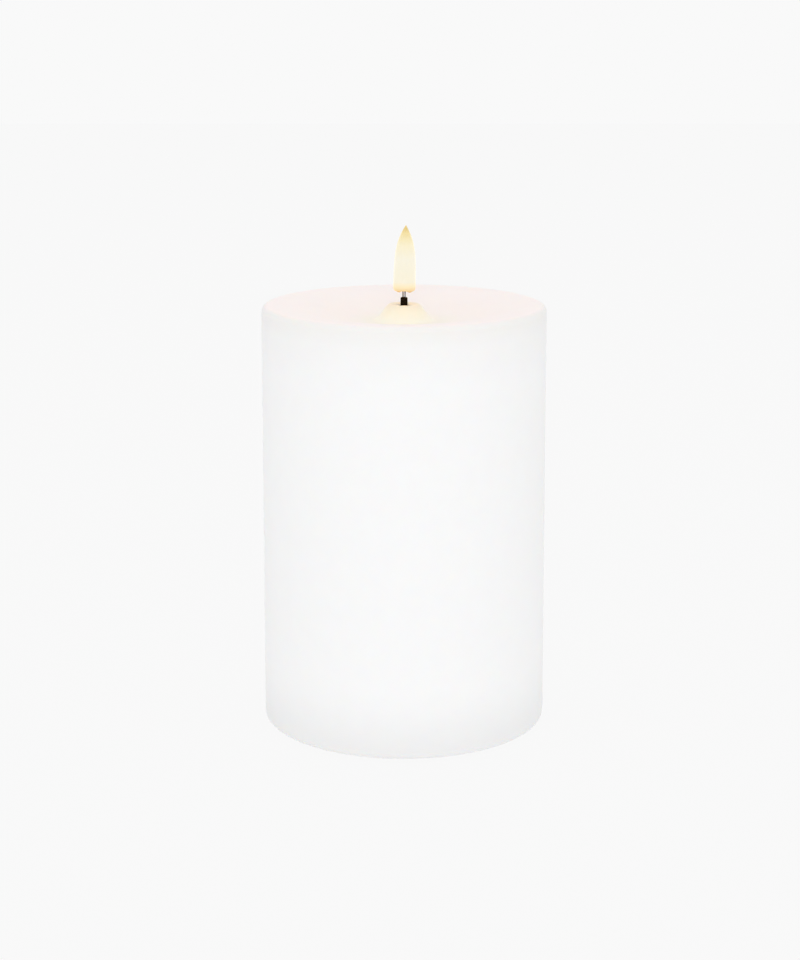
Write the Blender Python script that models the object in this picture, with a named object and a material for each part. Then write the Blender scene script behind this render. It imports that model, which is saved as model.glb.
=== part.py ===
"""Flameless LED pillar candle: a real-wax shell over a battery-powered core.

Standalone Blender 4.5 script. Metres, +Z up. The origin is on the surface that the candle
stands on, under the centre of the wax cylinder. Sizes below are in millimetres and the
builders turn them into metres with MM.
"""

import math

import bmesh
import bpy
from mathutils import Matrix, Vector

MM = 0.001
GAP = 0.3  # clearance left between neighbouring pieces

# --- driving dimensions, in millimetres ---
CANDLE_RADIUS = 50.5
RIM_Z = 152.0  # crest of the wax rim above the table
FOOT_STANDOFF = 0.8  # the wax clears the table by this much
WAX_WALL = 5.5
WAX_ROOF_Z = 139.0  # underside of the wax roof
RIM_ROUND = 2.2
FOOT_ROUND = 3.0  # rounding of the wax's lower edge
RIM_CREST = CANDLE_RADIUS - RIM_ROUND  # radius where the melted bowl starts
BOWL_DEPTH = 6.0
BOWL_FLOOR_RADIUS = 12.5  # foot of the wax collar round the wick
COLLAR_RADIUS = 5.0  # crest of that collar, level with the rim
COLLAR_FLARE = 1.5  # above 1 the collar spreads at its foot
CRATER_DEPTH = 0.5  # of the dimple that the wick stands in

WICK_RADIUS = 1.3
WICK_BORE = 0.9
WICK_HOLE = WICK_RADIUS + 0.4  # through the wax
WICK_TOP_Z = RIM_Z + 2.4
WICK_BOTTOM_Z = 135.2

FLAME_BOTTOM_Z = RIM_Z + 4.3
FLAME_HEIGHT = 23.9
FLAME_RADIUS = 3.95
FLAME_FOOT_RADIUS = 2.8  # of its flat underside
FLAME_FOOT_HEIGHT = 1.6
FLAME_LEAN_DEG = 1.5
POCKET_RADIUS = 1.85  # of the hollow in the flame's foot that takes the lamp
POCKET_HEIGHT = 6.2
LED_RADIUS = 1.35
LED_HEIGHT = 5.0

CELL_RADIUS = 16.5  # a D cell (LR20)
CELL_BODY = 60.0
CELL_NUB = 1.5
CELL_NUB_RADIUS = 4.75
CELL_OFFSET = 17.4  # cell axes lie at +-this in X
CELL_Y = -12.0  # both cell axes; moved off centre to make room for the board
CELL_BOTTOM_Z = 7.6

BASE_BOTTOM_Z = 1.2
BASE_TOP_Z = 3.2
COLLAR_TOP_Z = 5.2
LEDGE_Z = 3.3  # underside of the ledge that the battery door closes against

DOOR_RADIUS = 18.9
DOOR_TOP_Z = 3.0
OPENING_RADIUS = 19.3
CASE_INNER_RADIUS = 17.3
CASE_OUTER_RADIUS = 18.8
CASE_BOTTOM_Z = 5.5
CASE_TOP_Z = 75.5
CASE_CEILING_Z = 74.0
TAB_X = (-CELL_OFFSET - 6.4, CELL_OFFSET + 7.4)  # the two contact tabs through the ceiling
TAB_TOP_Z = CASE_TOP_Z + 3.5
CONTACT_THICKNESS = 0.4

HINGE_Y = CELL_Y + OPENING_RADIUS + 1.4
HINGE_Z = 2.7
BARREL_RADIUS = 1.4
HINGE_PIN_RADIUS = 0.6
HINGE_BORE_RADIUS = 0.78

SCREW_RING = 40.0  # radius of the four base screws
POST_TOP_Z = 9.2  # posts that carry the battery case
EAR_TOP_Z = 11.7
CASE_EARS = ((24.0, 10.0), (-24.0, 10.0), (10.0, -34.4), (-10.0, -34.4))
FEET = ((31.0, 22.0), (-31.0, 22.0), (13.0, -38.0), (-13.0, -38.0))

BOARD_CENTRE = (0.0, 25.0)
BOARD_SIZE = (44.0, 19.0)
BOARD_BOTTOM_Z = 9.2
BOARD_TOP_Z = 10.8
BOARD_SCREWS = ((18.5, 31.0), (-18.5, 31.0))
PART_Z = BOARD_TOP_Z + GAP  # underside of the parts that stand on the board
PLUG_CENTRE = (15.0, 19.5)
PLUG_PITCH = 2.5

SWITCH_CENTRE = (0.0, 24.0)
SWITCH_ON_OFFSET = -2.5  # the knob is stored at ON, the first of three stops 2.5 apart

LINER_RADIUS = 44.6
LINER_WALL = 1.2
LINER_BOTTOM_Z = 5.6
LINER_TOP_Z = 138.6

WIRE_RADIUS = 0.5
LEAD_RADIUS = 0.22
LEAD_OFFSET = 0.36  # inside the wick
SPLICE_OFFSET = 1.45  # in X, where the leads are joined to the wires
SPLICE_Z = 130.5  # where a lead's end meets a wire's end, inside a sleeve
LED_BASE_Z = FLAME_BOTTOM_Z + 0.5

# Screws: length of the shank, its radius, and the head's radius.
BASE_SCREW = (12.5, 1.25, 2.75)
CASE_SCREW = (9.0, 1.05, 2.5)
BOARD_SCREW = (7.5, 0.95, 2.3)
SCREW_HEAD_HEIGHT = 1.3
BOSS_RADIUS = 3.3  # of the posts, bosses and ears that take a screw

# name: (colour, roughness, metallic)
FINISHES = {
    "wax": ((0.93, 0.92, 0.90), 0.45, 0.0),
    "white_plastic": ((0.88, 0.88, 0.86), 0.5, 0.0),
    "clear_plastic": ((0.80, 0.80, 0.78), 0.3, 0.0),
    "black_plastic": ((0.02, 0.02, 0.02), 0.5, 0.0),
    "wick_black": ((0.015, 0.012, 0.01), 0.8, 0.0),
    "flame": ((1.0, 0.87, 0.62), 0.35, 0.0),
    "led": ((0.95, 0.85, 0.35), 0.15, 0.0),
    "rubber": ((0.10, 0.10, 0.10), 0.9, 0.0),
    "steel": ((0.62, 0.62, 0.62), 0.35, 1.0),
    "nickel": ((0.72, 0.70, 0.66), 0.25, 1.0),
    "cell": ((0.18, 0.19, 0.21), 0.35, 0.6),
    "board": ((0.03, 0.22, 0.10), 0.45, 0.0),
    "red_wire": ((0.65, 0.03, 0.02), 0.5, 0.0),
    "black_wire": ((0.02, 0.02, 0.02), 0.5, 0.0),
}


def clear_scene():
    for obj in list(bpy.data.objects):
        bpy.data.objects.remove(obj)


def finish(name):
    """The Principled material of that name, made once."""
    made = bpy.data.materials.get(name)
    if made:
        return made
    colour, roughness, metallic = FINISHES[name]
    made = bpy.data.materials.new(name)
    made.use_nodes = True
    shader = made.node_tree.nodes["Principled BSDF"]
    shader.inputs["Base Color"].default_value = (*colour, 1.0)
    shader.inputs["Roughness"].default_value = roughness
    shader.inputs["Metallic"].default_value = metallic
    return made


def place(name, bm, material=None, smooth=None):
    """Turns a bmesh in millimetres into a linked object in metres. smooth is the sharp angle."""
    bmesh.ops.recalc_face_normals(bm, faces=bm.faces)
    bmesh.ops.scale(bm, vec=(MM, MM, MM), verts=bm.verts)
    mesh = bpy.data.meshes.new(name)
    bm.to_mesh(mesh)
    bm.free()
    if smooth is not None:
        mesh.shade_smooth()
        mesh.set_sharp_from_angle(angle=math.radians(smooth))
    obj = bpy.data.objects.new(name, mesh)
    bpy.context.scene.collection.objects.link(obj)
    if material:
        mesh.materials.append(finish(material))
    return obj


def turned_mesh(profile, steps=32, centre=(0.0, 0.0)):
    """A profile of (radius, z) turned round a vertical axis.

    A profile that starts and ends on the axis closes there; any other is a ring, whose last
    point joins its first.
    """
    bm = bmesh.new()
    rings = []
    for radius, z in profile:
        if radius == 0:
            rings.append([bm.verts.new((centre[0], centre[1], z))])
            continue
        ring = []
        for i in range(steps):
            angle = 2 * math.pi * i / steps
            x = centre[0] + radius * math.cos(angle)
            y = centre[1] + radius * math.sin(angle)
            ring.append(bm.verts.new((x, y, z)))
        rings.append(ring)
    pairs = list(zip(rings, rings[1:]))
    if len(rings[0]) > 1 and len(rings[-1]) > 1:
        pairs.append((rings[-1], rings[0]))
    for low, high in pairs:
        for i in range(steps):
            j = (i + 1) % steps
            corners = [low[i % len(low)], low[j % len(low)], high[j % len(high)], high[i % len(high)]]
            bm.faces.new(list(dict.fromkeys(corners)))
    return bm


def turned(name, profile, material, steps=32, centre=(0.0, 0.0)):
    return place(name, turned_mesh(profile, steps, centre), material, smooth=35)


def prism_mesh(outline, z0, z1):
    """An outline of (x, y) stood up from z0 to z1."""
    bm = bmesh.new()
    face = bm.faces.new([bm.verts.new((x, y, z0)) for x, y in outline])
    made = bmesh.ops.extrude_face_region(bm, geom=[face])
    top = [v for v in made["geom"] if isinstance(v, bmesh.types.BMVert)]
    bmesh.ops.translate(bm, vec=(0, 0, z1 - z0), verts=top)
    return bm


def prism(name, outline, z0, z1, material=None, bevel=0.0):
    obj = place(name, prism_mesh(outline, z0, z1), material, smooth=35)
    if bevel:
        round_edges(obj, bevel)
    return obj


def box(name, low, high, material=None, bevel=0.0):
    outline = ((low[0], low[1]), (high[0], low[1]), (high[0], high[1]), (low[0], high[1]))
    return prism(name, outline, low[2], high[2], material, bevel)


def rod(name, start, end, radius, material=None, steps=16):
    """A plain round bar between two points."""
    start, end = Vector(start), Vector(end)
    bm = bmesh.new()
    bmesh.ops.create_cone(
        bm,
        cap_ends=True,
        segments=steps,
        radius1=radius,
        radius2=radius,
        depth=(end - start).length,
        matrix=Matrix.Translation((start + end) / 2)
        @ (end - start).to_track_quat("Z", "Y").to_matrix().to_4x4(),
    )
    return place(name, bm, material, smooth=35)


def loft(name, sections, material=None):
    """A solid through outlines at rising heights, given as (outline, z) with matching points."""
    bm = bmesh.new()
    rings = [[bm.verts.new((x, y, z)) for x, y in outline] for outline, z in sections]
    for low, high in zip(rings, rings[1:]):
        for i in range(len(low)):
            j = (i + 1) % len(low)
            bm.faces.new((low[i], low[j], high[j], high[i]))
    bm.faces.new(rings[0])
    bm.faces.new(rings[-1])
    return place(name, bm, material, smooth=35)


def circle(radius, centre=(0.0, 0.0), steps=16):
    turn = 2 * math.pi / steps
    return [
        (centre[0] + radius * math.cos(i * turn), centre[1] + radius * math.sin(i * turn))
        for i in range(steps)
    ]


def stadium(radius, steps=14):
    """The outline round both cells: two half circles joined by straight sides."""
    right = [math.radians(-90 + 180 * i / steps) for i in range(steps + 1)]
    left = [angle + math.pi for angle in right]
    points = [(CELL_OFFSET + radius * math.cos(a), CELL_Y + radius * math.sin(a)) for a in right]
    points += [(-CELL_OFFSET + radius * math.cos(a), CELL_Y + radius * math.sin(a)) for a in left]
    return points


def arc(centre, radius, start_deg, end_deg, steps=4):
    """Profile points along an arc, angles measured from +r towards +z."""
    points = []
    for i in range(steps + 1):
        angle = math.radians(start_deg + (end_deg - start_deg) * i / steps)
        points.append((centre[0] + radius * math.cos(angle), centre[1] + radius * math.sin(angle)))
    return points


def round_edges(obj, width, segments=2):
    bevel = obj.modifiers.new("round", "BEVEL")
    bevel.width = width * MM
    bevel.segments = segments
    bevel.limit_method = "ANGLE"
    bevel.angle_limit = math.radians(50)


def boolean(obj, other, operation):
    """Cuts other from obj, or adds it, and keeps other as a hidden helper."""
    modifier = obj.modifiers.new(operation.lower(), "BOOLEAN")
    modifier.operation = operation
    modifier.object = other
    modifier.solver = "EXACT"
    other.name = f"helper_{other.name}"
    other.hide_render = True
    other.display_type = "WIRE"


def cut(obj, *cutters):
    for cutter in cutters:
        boolean(obj, cutter, "DIFFERENCE")


def join(obj, *others):
    for other in others:
        boolean(obj, other, "UNION")


def wire(name, route, radius, material, sides=2):
    """A round wire on a straight-segment spline through the route."""
    curve = bpy.data.curves.new(name, "CURVE")
    curve.dimensions = "3D"
    curve.bevel_depth = radius * MM
    curve.bevel_resolution = sides
    curve.use_fill_caps = True
    spline = curve.splines.new("POLY")
    spline.points.add(len(route) - 1)
    for point, place_mm in zip(spline.points, route):
        point.co = (*(Vector(place_mm) * MM), 1.0)
    curve.materials.append(finish(material))
    obj = bpy.data.objects.new(name, curve)
    bpy.context.scene.collection.objects.link(obj)
    return obj


def smooth_route(points, per_span=3):
    """Points on a Catmull-Rom curve through the given ones."""
    knots = [Vector(p) for p in points]
    knots = [2 * knots[0] - knots[1]] + knots + [2 * knots[-1] - knots[-2]]
    route = []
    for a, b, c, d in zip(knots, knots[1:], knots[2:], knots[3:]):
        for i in range(per_span):
            t = i / per_span
            route.append(
                0.5 * (2 * b + (c - a) * t + (2 * a - 5 * b + 4 * c - d) * t**2
                       + (3 * b - a - 3 * c + d) * t**3)
            )
    route.append(knots[-2])
    return route


# --- wax ---


def bowl_fall(radius):
    """How far the melted top lies below the rim at a radius: 0 at the crest, the full depth at
    the foot of the collar round the wick, 0 on the collar, and a small dimple at the wick."""
    if radius > BOWL_FLOOR_RADIUS:
        share = (RIM_CREST - radius) / (RIM_CREST - BOWL_FLOOR_RADIUS)
        return BOWL_DEPTH * (1 - math.cos(math.pi * share)) / 2
    if radius > COLLAR_RADIUS:
        share = (BOWL_FLOOR_RADIUS - radius) / (BOWL_FLOOR_RADIUS - COLLAR_RADIUS)
        return BOWL_DEPTH * (1 + math.cos(math.pi * share**COLLAR_FLARE)) / 2
    share = (COLLAR_RADIUS - radius) / (COLLAR_RADIUS - WICK_HOLE)
    return CRATER_DEPTH * share**2


def bowl_profile():
    """The melted top from the rim's crest in to the wick hole."""
    points = []
    for outer, inner, steps in (
        (RIM_CREST, BOWL_FLOOR_RADIUS, 8),
        (BOWL_FLOOR_RADIUS, COLLAR_RADIUS, 8),
        (COLLAR_RADIUS, WICK_HOLE, 2),
    ):
        for i in range(1, steps + 1):
            radius = outer + (inner - outer) * i / steps
            points.append((radius, RIM_Z - bowl_fall(radius)))
    return points


def make_wax_shell():
    inner = CANDLE_RADIUS - WAX_WALL
    foot_centre = (CANDLE_RADIUS - FOOT_ROUND, FOOT_STANDOFF + FOOT_ROUND)
    rim_centre = (RIM_CREST, RIM_Z - RIM_ROUND)
    profile = [(inner, FOOT_STANDOFF + 0.6), (inner + 0.6, FOOT_STANDOFF)]
    profile += arc(foot_centre, FOOT_ROUND, -90, 0)
    profile += arc(rim_centre, RIM_ROUND, 0, 90)
    profile += bowl_profile()
    profile += [(WICK_HOLE, WAX_ROOF_Z)]
    profile += [(inner - 2.0, WAX_ROOF_Z), (inner - 0.6, WAX_ROOF_Z - 0.6), (inner, WAX_ROOF_Z - 2.0)]
    turned("wax_shell", profile, "wax", steps=48)


# --- core liner, base plate and feet ---


def screw_places():
    return [
        (SCREW_RING * math.cos(math.radians(a)), SCREW_RING * math.sin(math.radians(a)))
        for a in (0, 90, 180, 270)
    ]


def make_core_liner():
    """A thin inverted cup, bonded inside the wax. The base plate screws into its four bosses."""
    inner = LINER_RADIUS - LINER_WALL
    hole = 6.3
    profile = [
        (inner, LINER_BOTTOM_Z),
        (LINER_RADIUS, LINER_BOTTOM_Z),
        (LINER_RADIUS, LINER_TOP_Z - 2.6),
        (LINER_RADIUS - 0.8, LINER_TOP_Z - 0.8),
        (LINER_RADIUS - 2.6, LINER_TOP_Z),
        (hole, LINER_TOP_Z),
        (hole, LINER_TOP_Z - LINER_WALL),
        (inner - 2.0, LINER_TOP_Z - LINER_WALL),
        (inner, LINER_TOP_Z - LINER_WALL - 2.0),
    ]
    liner = turned("core_liner", profile, "white_plastic", steps=48)
    for i, (x, y) in enumerate(screw_places()):
        outward = Vector((x, y)).normalized()
        centre = (x, y)
        boss = prism(f"boss_{i}", circle(BOSS_RADIUS, centre), LINER_BOTTOM_Z + 0.1, 19.0)
        # A web carries each boss out into the liner's wall.
        side = Vector((-outward.y, outward.x)) * 1.6
        inner_end, outer_end = Vector(centre), outward * (inner + 0.6)
        corners = (inner_end - side, outer_end - side, outer_end + side, inner_end + side)
        web = prism(f"web_{i}", [tuple(c) for c in corners], LINER_BOTTOM_Z + 0.2, 18.8)
        join(liner, boss, web)
        cut(liner, prism(f"pilot_{i}", circle(1.6, centre, 10), LINER_BOTTOM_Z - 1, 16.5))


def make_base_plate():
    """The moulded plate that closes the underside and carries the case, board and door."""
    rim = 43.4
    profile = [
        (0, BASE_BOTTOM_Z),
        (LINER_RADIUS - 0.5, BASE_BOTTOM_Z),
        (LINER_RADIUS, BASE_BOTTOM_Z + 0.5),
        (LINER_RADIUS, COLLAR_TOP_Z),
        (rim, COLLAR_TOP_Z),
        (rim, BASE_TOP_Z),
        (0, BASE_TOP_Z),
    ]
    plate = turned("base_plate", profile, "white_plastic", steps=48)
    # The collar round the battery opening, whose inner half overhangs it as the door's ledge.
    join(plate, prism("collar", stadium(OPENING_RADIUS + 1.7), BASE_TOP_Z - 0.5, COLLAR_TOP_Z))
    block = box(
        "hinge_block",
        (-15.0, HINGE_Y - 1.6, BASE_TOP_Z - 0.5),
        (15.0, HINGE_Y + 1.8, COLLAR_TOP_Z),
    )
    join(plate, block)
    for i, (x, y) in enumerate(screw_places()):
        join(plate, prism(f"pad_{i}", circle(4.6, (x, y)), BASE_TOP_Z - 0.4, COLLAR_TOP_Z - 0.1))
    for i, centre in enumerate(CASE_EARS):
        join(plate, prism(f"case_post_{i}", circle(BOSS_RADIUS, centre, 12), BASE_TOP_Z - 0.3, POST_TOP_Z))
    for i, centre in enumerate(BOARD_SCREWS):
        join(plate, prism(f"board_post_{i}", circle(2.8, centre, 12), BASE_TOP_Z - 0.3, BOARD_BOTTOM_Z - GAP))

    # Battery opening: wide below the ledge for the door, narrower above it for the cells.
    cut(plate, prism("door_opening", stadium(OPENING_RADIUS), BASE_BOTTOM_Z - 2, LEDGE_Z))
    cut(plate, prism("cell_opening", stadium(CASE_INNER_RADIUS), BASE_BOTTOM_Z - 2, COLLAR_TOP_Z + 2))
    # Hinge: two notches for the door's barrels and one bore for the pin.
    for side in (-1, 1):
        low_x, high_x = sorted((side * 5.0, side * 11.4))
        notch = box(
            f"barrel_notch_{side}",
            (low_x, HINGE_Y - 2.2, BASE_BOTTOM_Z - 2),
            (high_x, HINGE_Y + 1.85, HINGE_Z + BARREL_RADIUS + 0.35),
        )
        cut(plate, notch)
    # The opening's lower edge is bevelled, because the door's own edge turns past it.
    bevel = 0.7
    low, high = BASE_BOTTOM_Z - bevel, BASE_BOTTOM_Z + bevel
    sections = ((stadium(OPENING_RADIUS + 2 * bevel), low), (stadium(OPENING_RADIUS), high))
    cut(plate, loft("edge_bevel", sections))
    cut(plate, rod("pin_bore", (-16, HINGE_Y, HINGE_Z), (16, HINGE_Y, HINGE_Z), HINGE_BORE_RADIUS))
    # Latch: a gap in the ledge for the door's hook, and a scallop for a fingertip.
    far = CELL_Y - OPENING_RADIUS
    cut(plate, box("hook_gap", (-6.2, far - 0.001, LEDGE_Z - 0.4), (6.2, far + 4, COLLAR_TOP_Z + 1)))
    cut(plate, prism("scallop", circle(4.6, (0, far - 1.5), 24), BASE_BOTTOM_Z - 6, BASE_BOTTOM_Z + 1.1))
    # Switch: a finger recess with a slot through its floor.
    x, y = SWITCH_CENTRE
    below = BASE_BOTTOM_Z - 2
    cut(plate, box("switch_recess", (x - 10, y - 4.4, below), (x + 10, y + 4.4, BASE_BOTTOM_Z + 1.0)))
    cut(plate, box("switch_slot", (x - 4.8, y - 1.9, below), (x + 4.8, y + 1.9, BASE_TOP_Z + 2)))
    # Counterbored holes for the base screws, pilot holes in the posts and seats for the feet.
    for i, (x, y) in enumerate(screw_places()):
        cut(plate, prism(f"counterbore_{i}", circle(3.2, (x, y)), BASE_BOTTOM_Z - 2, BASE_TOP_Z))
        cut(plate, prism(f"screw_hole_{i}", circle(1.7, (x, y), 12), BASE_BOTTOM_Z - 1, COLLAR_TOP_Z + 2))
    for i, centre in enumerate(CASE_EARS):
        cut(plate, prism(f"case_pilot_{i}", circle(1.35, centre, 10), 2.4, POST_TOP_Z + 2))
    for i, centre in enumerate(BOARD_SCREWS):
        cut(plate, prism(f"board_pilot_{i}", circle(1.25, centre, 10), 3.6, BOARD_BOTTOM_Z + 2))
    for i, centre in enumerate(FEET):
        cut(plate, prism(f"foot_seat_{i}", circle(3.85, centre), BASE_BOTTOM_Z - 2, BASE_BOTTOM_Z + 0.7))


def make_feet():
    radius, top = 3.5, BASE_BOTTOM_Z + 0.7 - GAP
    profile = [(0, 0), (radius - 0.4, 0), (radius, 0.4), (radius, top), (0, top)]
    for i, centre in enumerate(FEET, 1):
        turned(f"foot_{i}", profile, "rubber", steps=16, centre=centre)


def make_screw(name, centre, head_z, size, up=True):
    """A pan-head screw. head_z is the underside of the head; up is the way the shank points."""
    length, radius, head_radius = size
    way = 1 if up else -1
    profile = [
        (0, head_z - way * SCREW_HEAD_HEIGHT),
        (head_radius * 0.8, head_z - way * SCREW_HEAD_HEIGHT),
        (head_radius, head_z - way * SCREW_HEAD_HEIGHT * 0.5),
        (head_radius, head_z),
        (radius, head_z),
        (radius, head_z + way * (length - 1.2)),
        (radius * 0.35, head_z + way * length),
        (0, head_z + way * length),
    ]
    screw = turned(name, profile, "steel", steps=12, centre=centre)
    arm, half = head_radius * 0.55, head_radius * 0.13
    x, y = centre
    cross = [
        (arm, -half), (arm, half), (half, half), (half, arm), (-half, arm), (-half, half),
        (-arm, half), (-arm, -half), (-half, -half), (-half, -arm), (half, -arm), (half, -half),
    ]
    outline = [(x + a, y + b) for a, b in cross]
    low, high = sorted((head_z - way * (SCREW_HEAD_HEIGHT + 1), head_z - way * 0.55))
    cut(screw, prism(f"{name}_cross", outline, low, high))


def make_base_screws():
    for i, centre in enumerate(screw_places(), 1):
        make_screw(f"base_screw_{i}", centre, BASE_TOP_Z - GAP, BASE_SCREW)


# --- battery case, cells and contacts ---


def make_battery_case():
    """An inverted cup for two cells, standing on the base plate's collar by four ears."""
    case = prism("battery_case", stadium(CASE_OUTER_RADIUS), CASE_BOTTOM_Z, CASE_TOP_Z, "clear_plastic")
    cut(case, prism("case_hollow", stadium(CASE_INNER_RADIUS), CASE_BOTTOM_Z - 2, CASE_CEILING_Z))
    # Two ribs keep the cells apart, and a pedestal backs the positive contact.
    for side in (-1, 1):
        near, far = sorted((CELL_Y + side * 8.0, CELL_Y + side * (CASE_INNER_RADIUS + 0.7)))
        join(case, box(f"rib_{side}", (-1.0, near, CASE_BOTTOM_Z + 3), (1.0, far, CASE_CEILING_Z + 0.5)))
    join(case, prism("pedestal", circle(5.0, (-CELL_OFFSET, CELL_Y), 20), 70.1, CASE_CEILING_Z + 0.5))
    for i, (x, y) in enumerate(CASE_EARS):
        ear = prism(f"ear_{i}", circle(BOSS_RADIUS, (x, y), 12), POST_TOP_Z + GAP, EAR_TOP_Z)
        inward = CELL_Y + math.copysign(CASE_OUTER_RADIUS - 2.2, y - CELL_Y)
        low, high = sorted((y, inward))
        arm = box(f"ear_arm_{i}", (x - 2.4, low, POST_TOP_Z + GAP + 0.1), (x + 2.4, high, EAR_TOP_Z - 0.1))
        join(case, ear, arm)
        cut(case, prism(f"ear_hole_{i}", circle(1.6, (x, y), 10), POST_TOP_Z - 1, EAR_TOP_Z + 1))
    cut(case, prism("case_hollow_again", stadium(CASE_INNER_RADIUS - 0.05), POST_TOP_Z - 1, EAR_TOP_Z + 1))
    # Slots in the ceiling for the two contact tabs.
    for x in TAB_X:
        low, high = x - 0.7, x + 0.7
        cut(case, box(f"tab_slot_{x:.0f}", (low, CELL_Y - 2.7, 60), (high, CELL_Y + 2.7, CASE_TOP_Z + 2)))


def cell_profile():
    """A cell's profile from its flat end up to its raised positive end, z from 0."""
    r, body = CELL_RADIUS, CELL_BODY
    return [
        (0, 0.5), (r - 4.0, 0.5), (r - 3.2, 0.0), (r - 1.0, 0.0), (r, 0.9),
        (r, body - 0.9), (r - 1.0, body), (r - 2.2, body), (r - 2.8, body - 0.9),
        (CELL_NUB_RADIUS, body - 0.9), (CELL_NUB_RADIUS, body + CELL_NUB - 0.5),
        (CELL_NUB_RADIUS - 0.5, body + CELL_NUB), (0, body + CELL_NUB),
    ]


def make_cells():
    """Cell 1 stands nub up, cell 2 nub down, so the door's strip joins them in series."""
    up = [(r, CELL_BOTTOM_Z + z) for r, z in cell_profile()]
    top = CELL_BOTTOM_Z + CELL_BODY + CELL_NUB
    down = [(r, top - z) for r, z in cell_profile()]
    turned("battery_1", up, "cell", steps=28, centre=(-CELL_OFFSET, CELL_Y))
    turned("battery_2", down, "cell", steps=28, centre=(CELL_OFFSET, CELL_Y))


def strip(name, path, half_width):
    """A bent contact strip: a path of (x, z) given thickness, and width along Y about the cells."""
    points = [Vector(p) for p in path]
    sides = []
    for i, point in enumerate(points):
        before = (point - points[i - 1]).normalized() if i else None
        after = (points[i + 1] - point).normalized() if i + 1 < len(points) else None
        along = ((before or after) + (after or before)).normalized()
        normal = Vector((-along.y, along.x))
        reach = CONTACT_THICKNESS / 2 / max(0.5, along.dot(before or after))
        sides.append((point + normal * reach, point - normal * reach))
    outline = [s[0] for s in sides] + [s[1] for s in reversed(sides)]
    bm = bmesh.new()
    face = bm.faces.new([bm.verts.new((p.x, CELL_Y - half_width, p.y)) for p in outline])
    made = bmesh.ops.extrude_face_region(bm, geom=[face])
    moved = [v for v in made["geom"] if isinstance(v, bmesh.types.BMVert)]
    bmesh.ops.translate(bm, vec=(0, 2 * half_width, 0), verts=moved)
    return place(name, bm, "nickel")


def coil(name, centre, z0, z1, r0, r1, turns=2.75, steps=12, wire_radius=0.4):
    """A conical spring; the wire's centreline runs from z0, r0 to z1, r1."""
    count = int(turns * steps)
    route = []
    for i in range(count + 1):
        share = i / count
        angle = 2 * math.pi * turns * share
        radius = r0 + (r1 - r0) * share
        z = z0 + (z1 - z0) * share
        route.append((centre[0] + radius * math.cos(angle), centre[1] + radius * math.sin(angle), z))
    return wire(name, route, wire_radius, "nickel", sides=1)


def make_case_contacts():
    cell_top = CELL_BOTTOM_Z + CELL_BODY + CELL_NUB
    low = cell_top + 0.5
    positive = [(-CELL_OFFSET + 5, low), (TAB_X[0], low), (TAB_X[0], TAB_TOP_Z)]
    strip("positive_contact", positive, 2.2)
    high = CASE_CEILING_Z - 0.5
    negative = [(CELL_OFFSET - 6, high), (TAB_X[1], high), (TAB_X[1], TAB_TOP_Z)]
    strip("negative_contact", negative, 2.2)
    coil("case_spring", (CELL_OFFSET, CELL_Y), high - 0.95, cell_top + 0.75, 6.5, 4.0)


# --- battery door ---


def make_battery_door():
    door = prism("battery_door", stadium(DOOR_RADIUS), BASE_BOTTOM_Z, DOOR_TOP_Z, "white_plastic")
    # Hinge barrels with a web back to the plate's straight edge.
    near_edge = CELL_Y + DOOR_RADIUS
    for side in (-1, 1):
        low_x, high_x = sorted((side * 5.35, side * 11.05))
        ends = (low_x, HINGE_Y, HINGE_Z), (high_x, HINGE_Y, HINGE_Z)
        barrel = rod(f"barrel_{side}", *ends, BARREL_RADIUS)
        web = box(
            f"hinge_web_{side}",
            (low_x + 0.05, near_edge - 1.5, HINGE_Z - 1.2),
            (high_x - 0.05, HINGE_Y, DOOR_TOP_Z - 0.1),
        )
        join(door, barrel, web)
    cut(door, rod("barrel_bore", (-13, HINGE_Y, HINGE_Z), (13, HINGE_Y, HINGE_Z), HINGE_BORE_RADIUS))
    # Latch tongue: two slits free it, a leg carries its hook, and ridges help a fingertip.
    far = CELL_Y - DOOR_RADIUS
    for side in (-1, 1):
        low_x, high_x = sorted((side * 5.2, side * 6.0))
        cut(door, box(f"slit_{side}", (low_x, far - 1, BASE_BOTTOM_Z - 1), (high_x, far + 8, DOOR_TOP_Z + 1)))
    leg = box("latch_leg", (-4.6, far + 0.15, DOOR_TOP_Z - 0.6), (4.6, far + 1.4, DOOR_TOP_Z + 2.4))
    hook = box("latch_hook", (-4.0, far - 0.2, DOOR_TOP_Z + 0.6), (4.0, far + 0.6, DOOR_TOP_Z + 1.9))
    join(door, leg, hook)
    for i in range(4):
        y = far + 1.4 + 1.5 * i
        cut(door, box(f"grip_{i}", (-3.6, y, BASE_BOTTOM_Z - 1), (3.6, y + 0.7, BASE_BOTTOM_Z + 0.4)))
    # Pedestal under the raised end of the bridge, and stiffening ribs.
    pedestal = box("bridge_pedestal", (12.5, CELL_Y - 4, DOOR_TOP_Z - 0.5), (22.5, CELL_Y + 4, 6.5))
    join(door, pedestal)
    for i, x in enumerate((-29.5, -5.2, 5.2, 29.5)):
        rib = box(f"door_rib_{i}", (x - 0.6, CELL_Y - 8, DOOR_TOP_Z - 0.5), (x + 0.6, CELL_Y - 5, 4.4))
        join(door, rib)


def make_hinge_pin():
    ends = (-14.6, HINGE_Y, HINGE_Z), (14.6, HINGE_Y, HINGE_Z)
    rod("hinge_pin", *ends, HINGE_PIN_RADIUS, "steel", steps=12)


def make_door_contacts():
    low, high = DOOR_TOP_Z + 0.5, 7.0
    path = [(-CELL_OFFSET - 8, low), (8.0, low), (12.0, high), (22.0, high)]
    strip("bridge_contact", path, 3.6)
    coil("door_spring", (-CELL_OFFSET, CELL_Y), low + 0.95, CELL_BOTTOM_Z - 0.75, 7.0, 4.2)


# --- control board and switch ---


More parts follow.
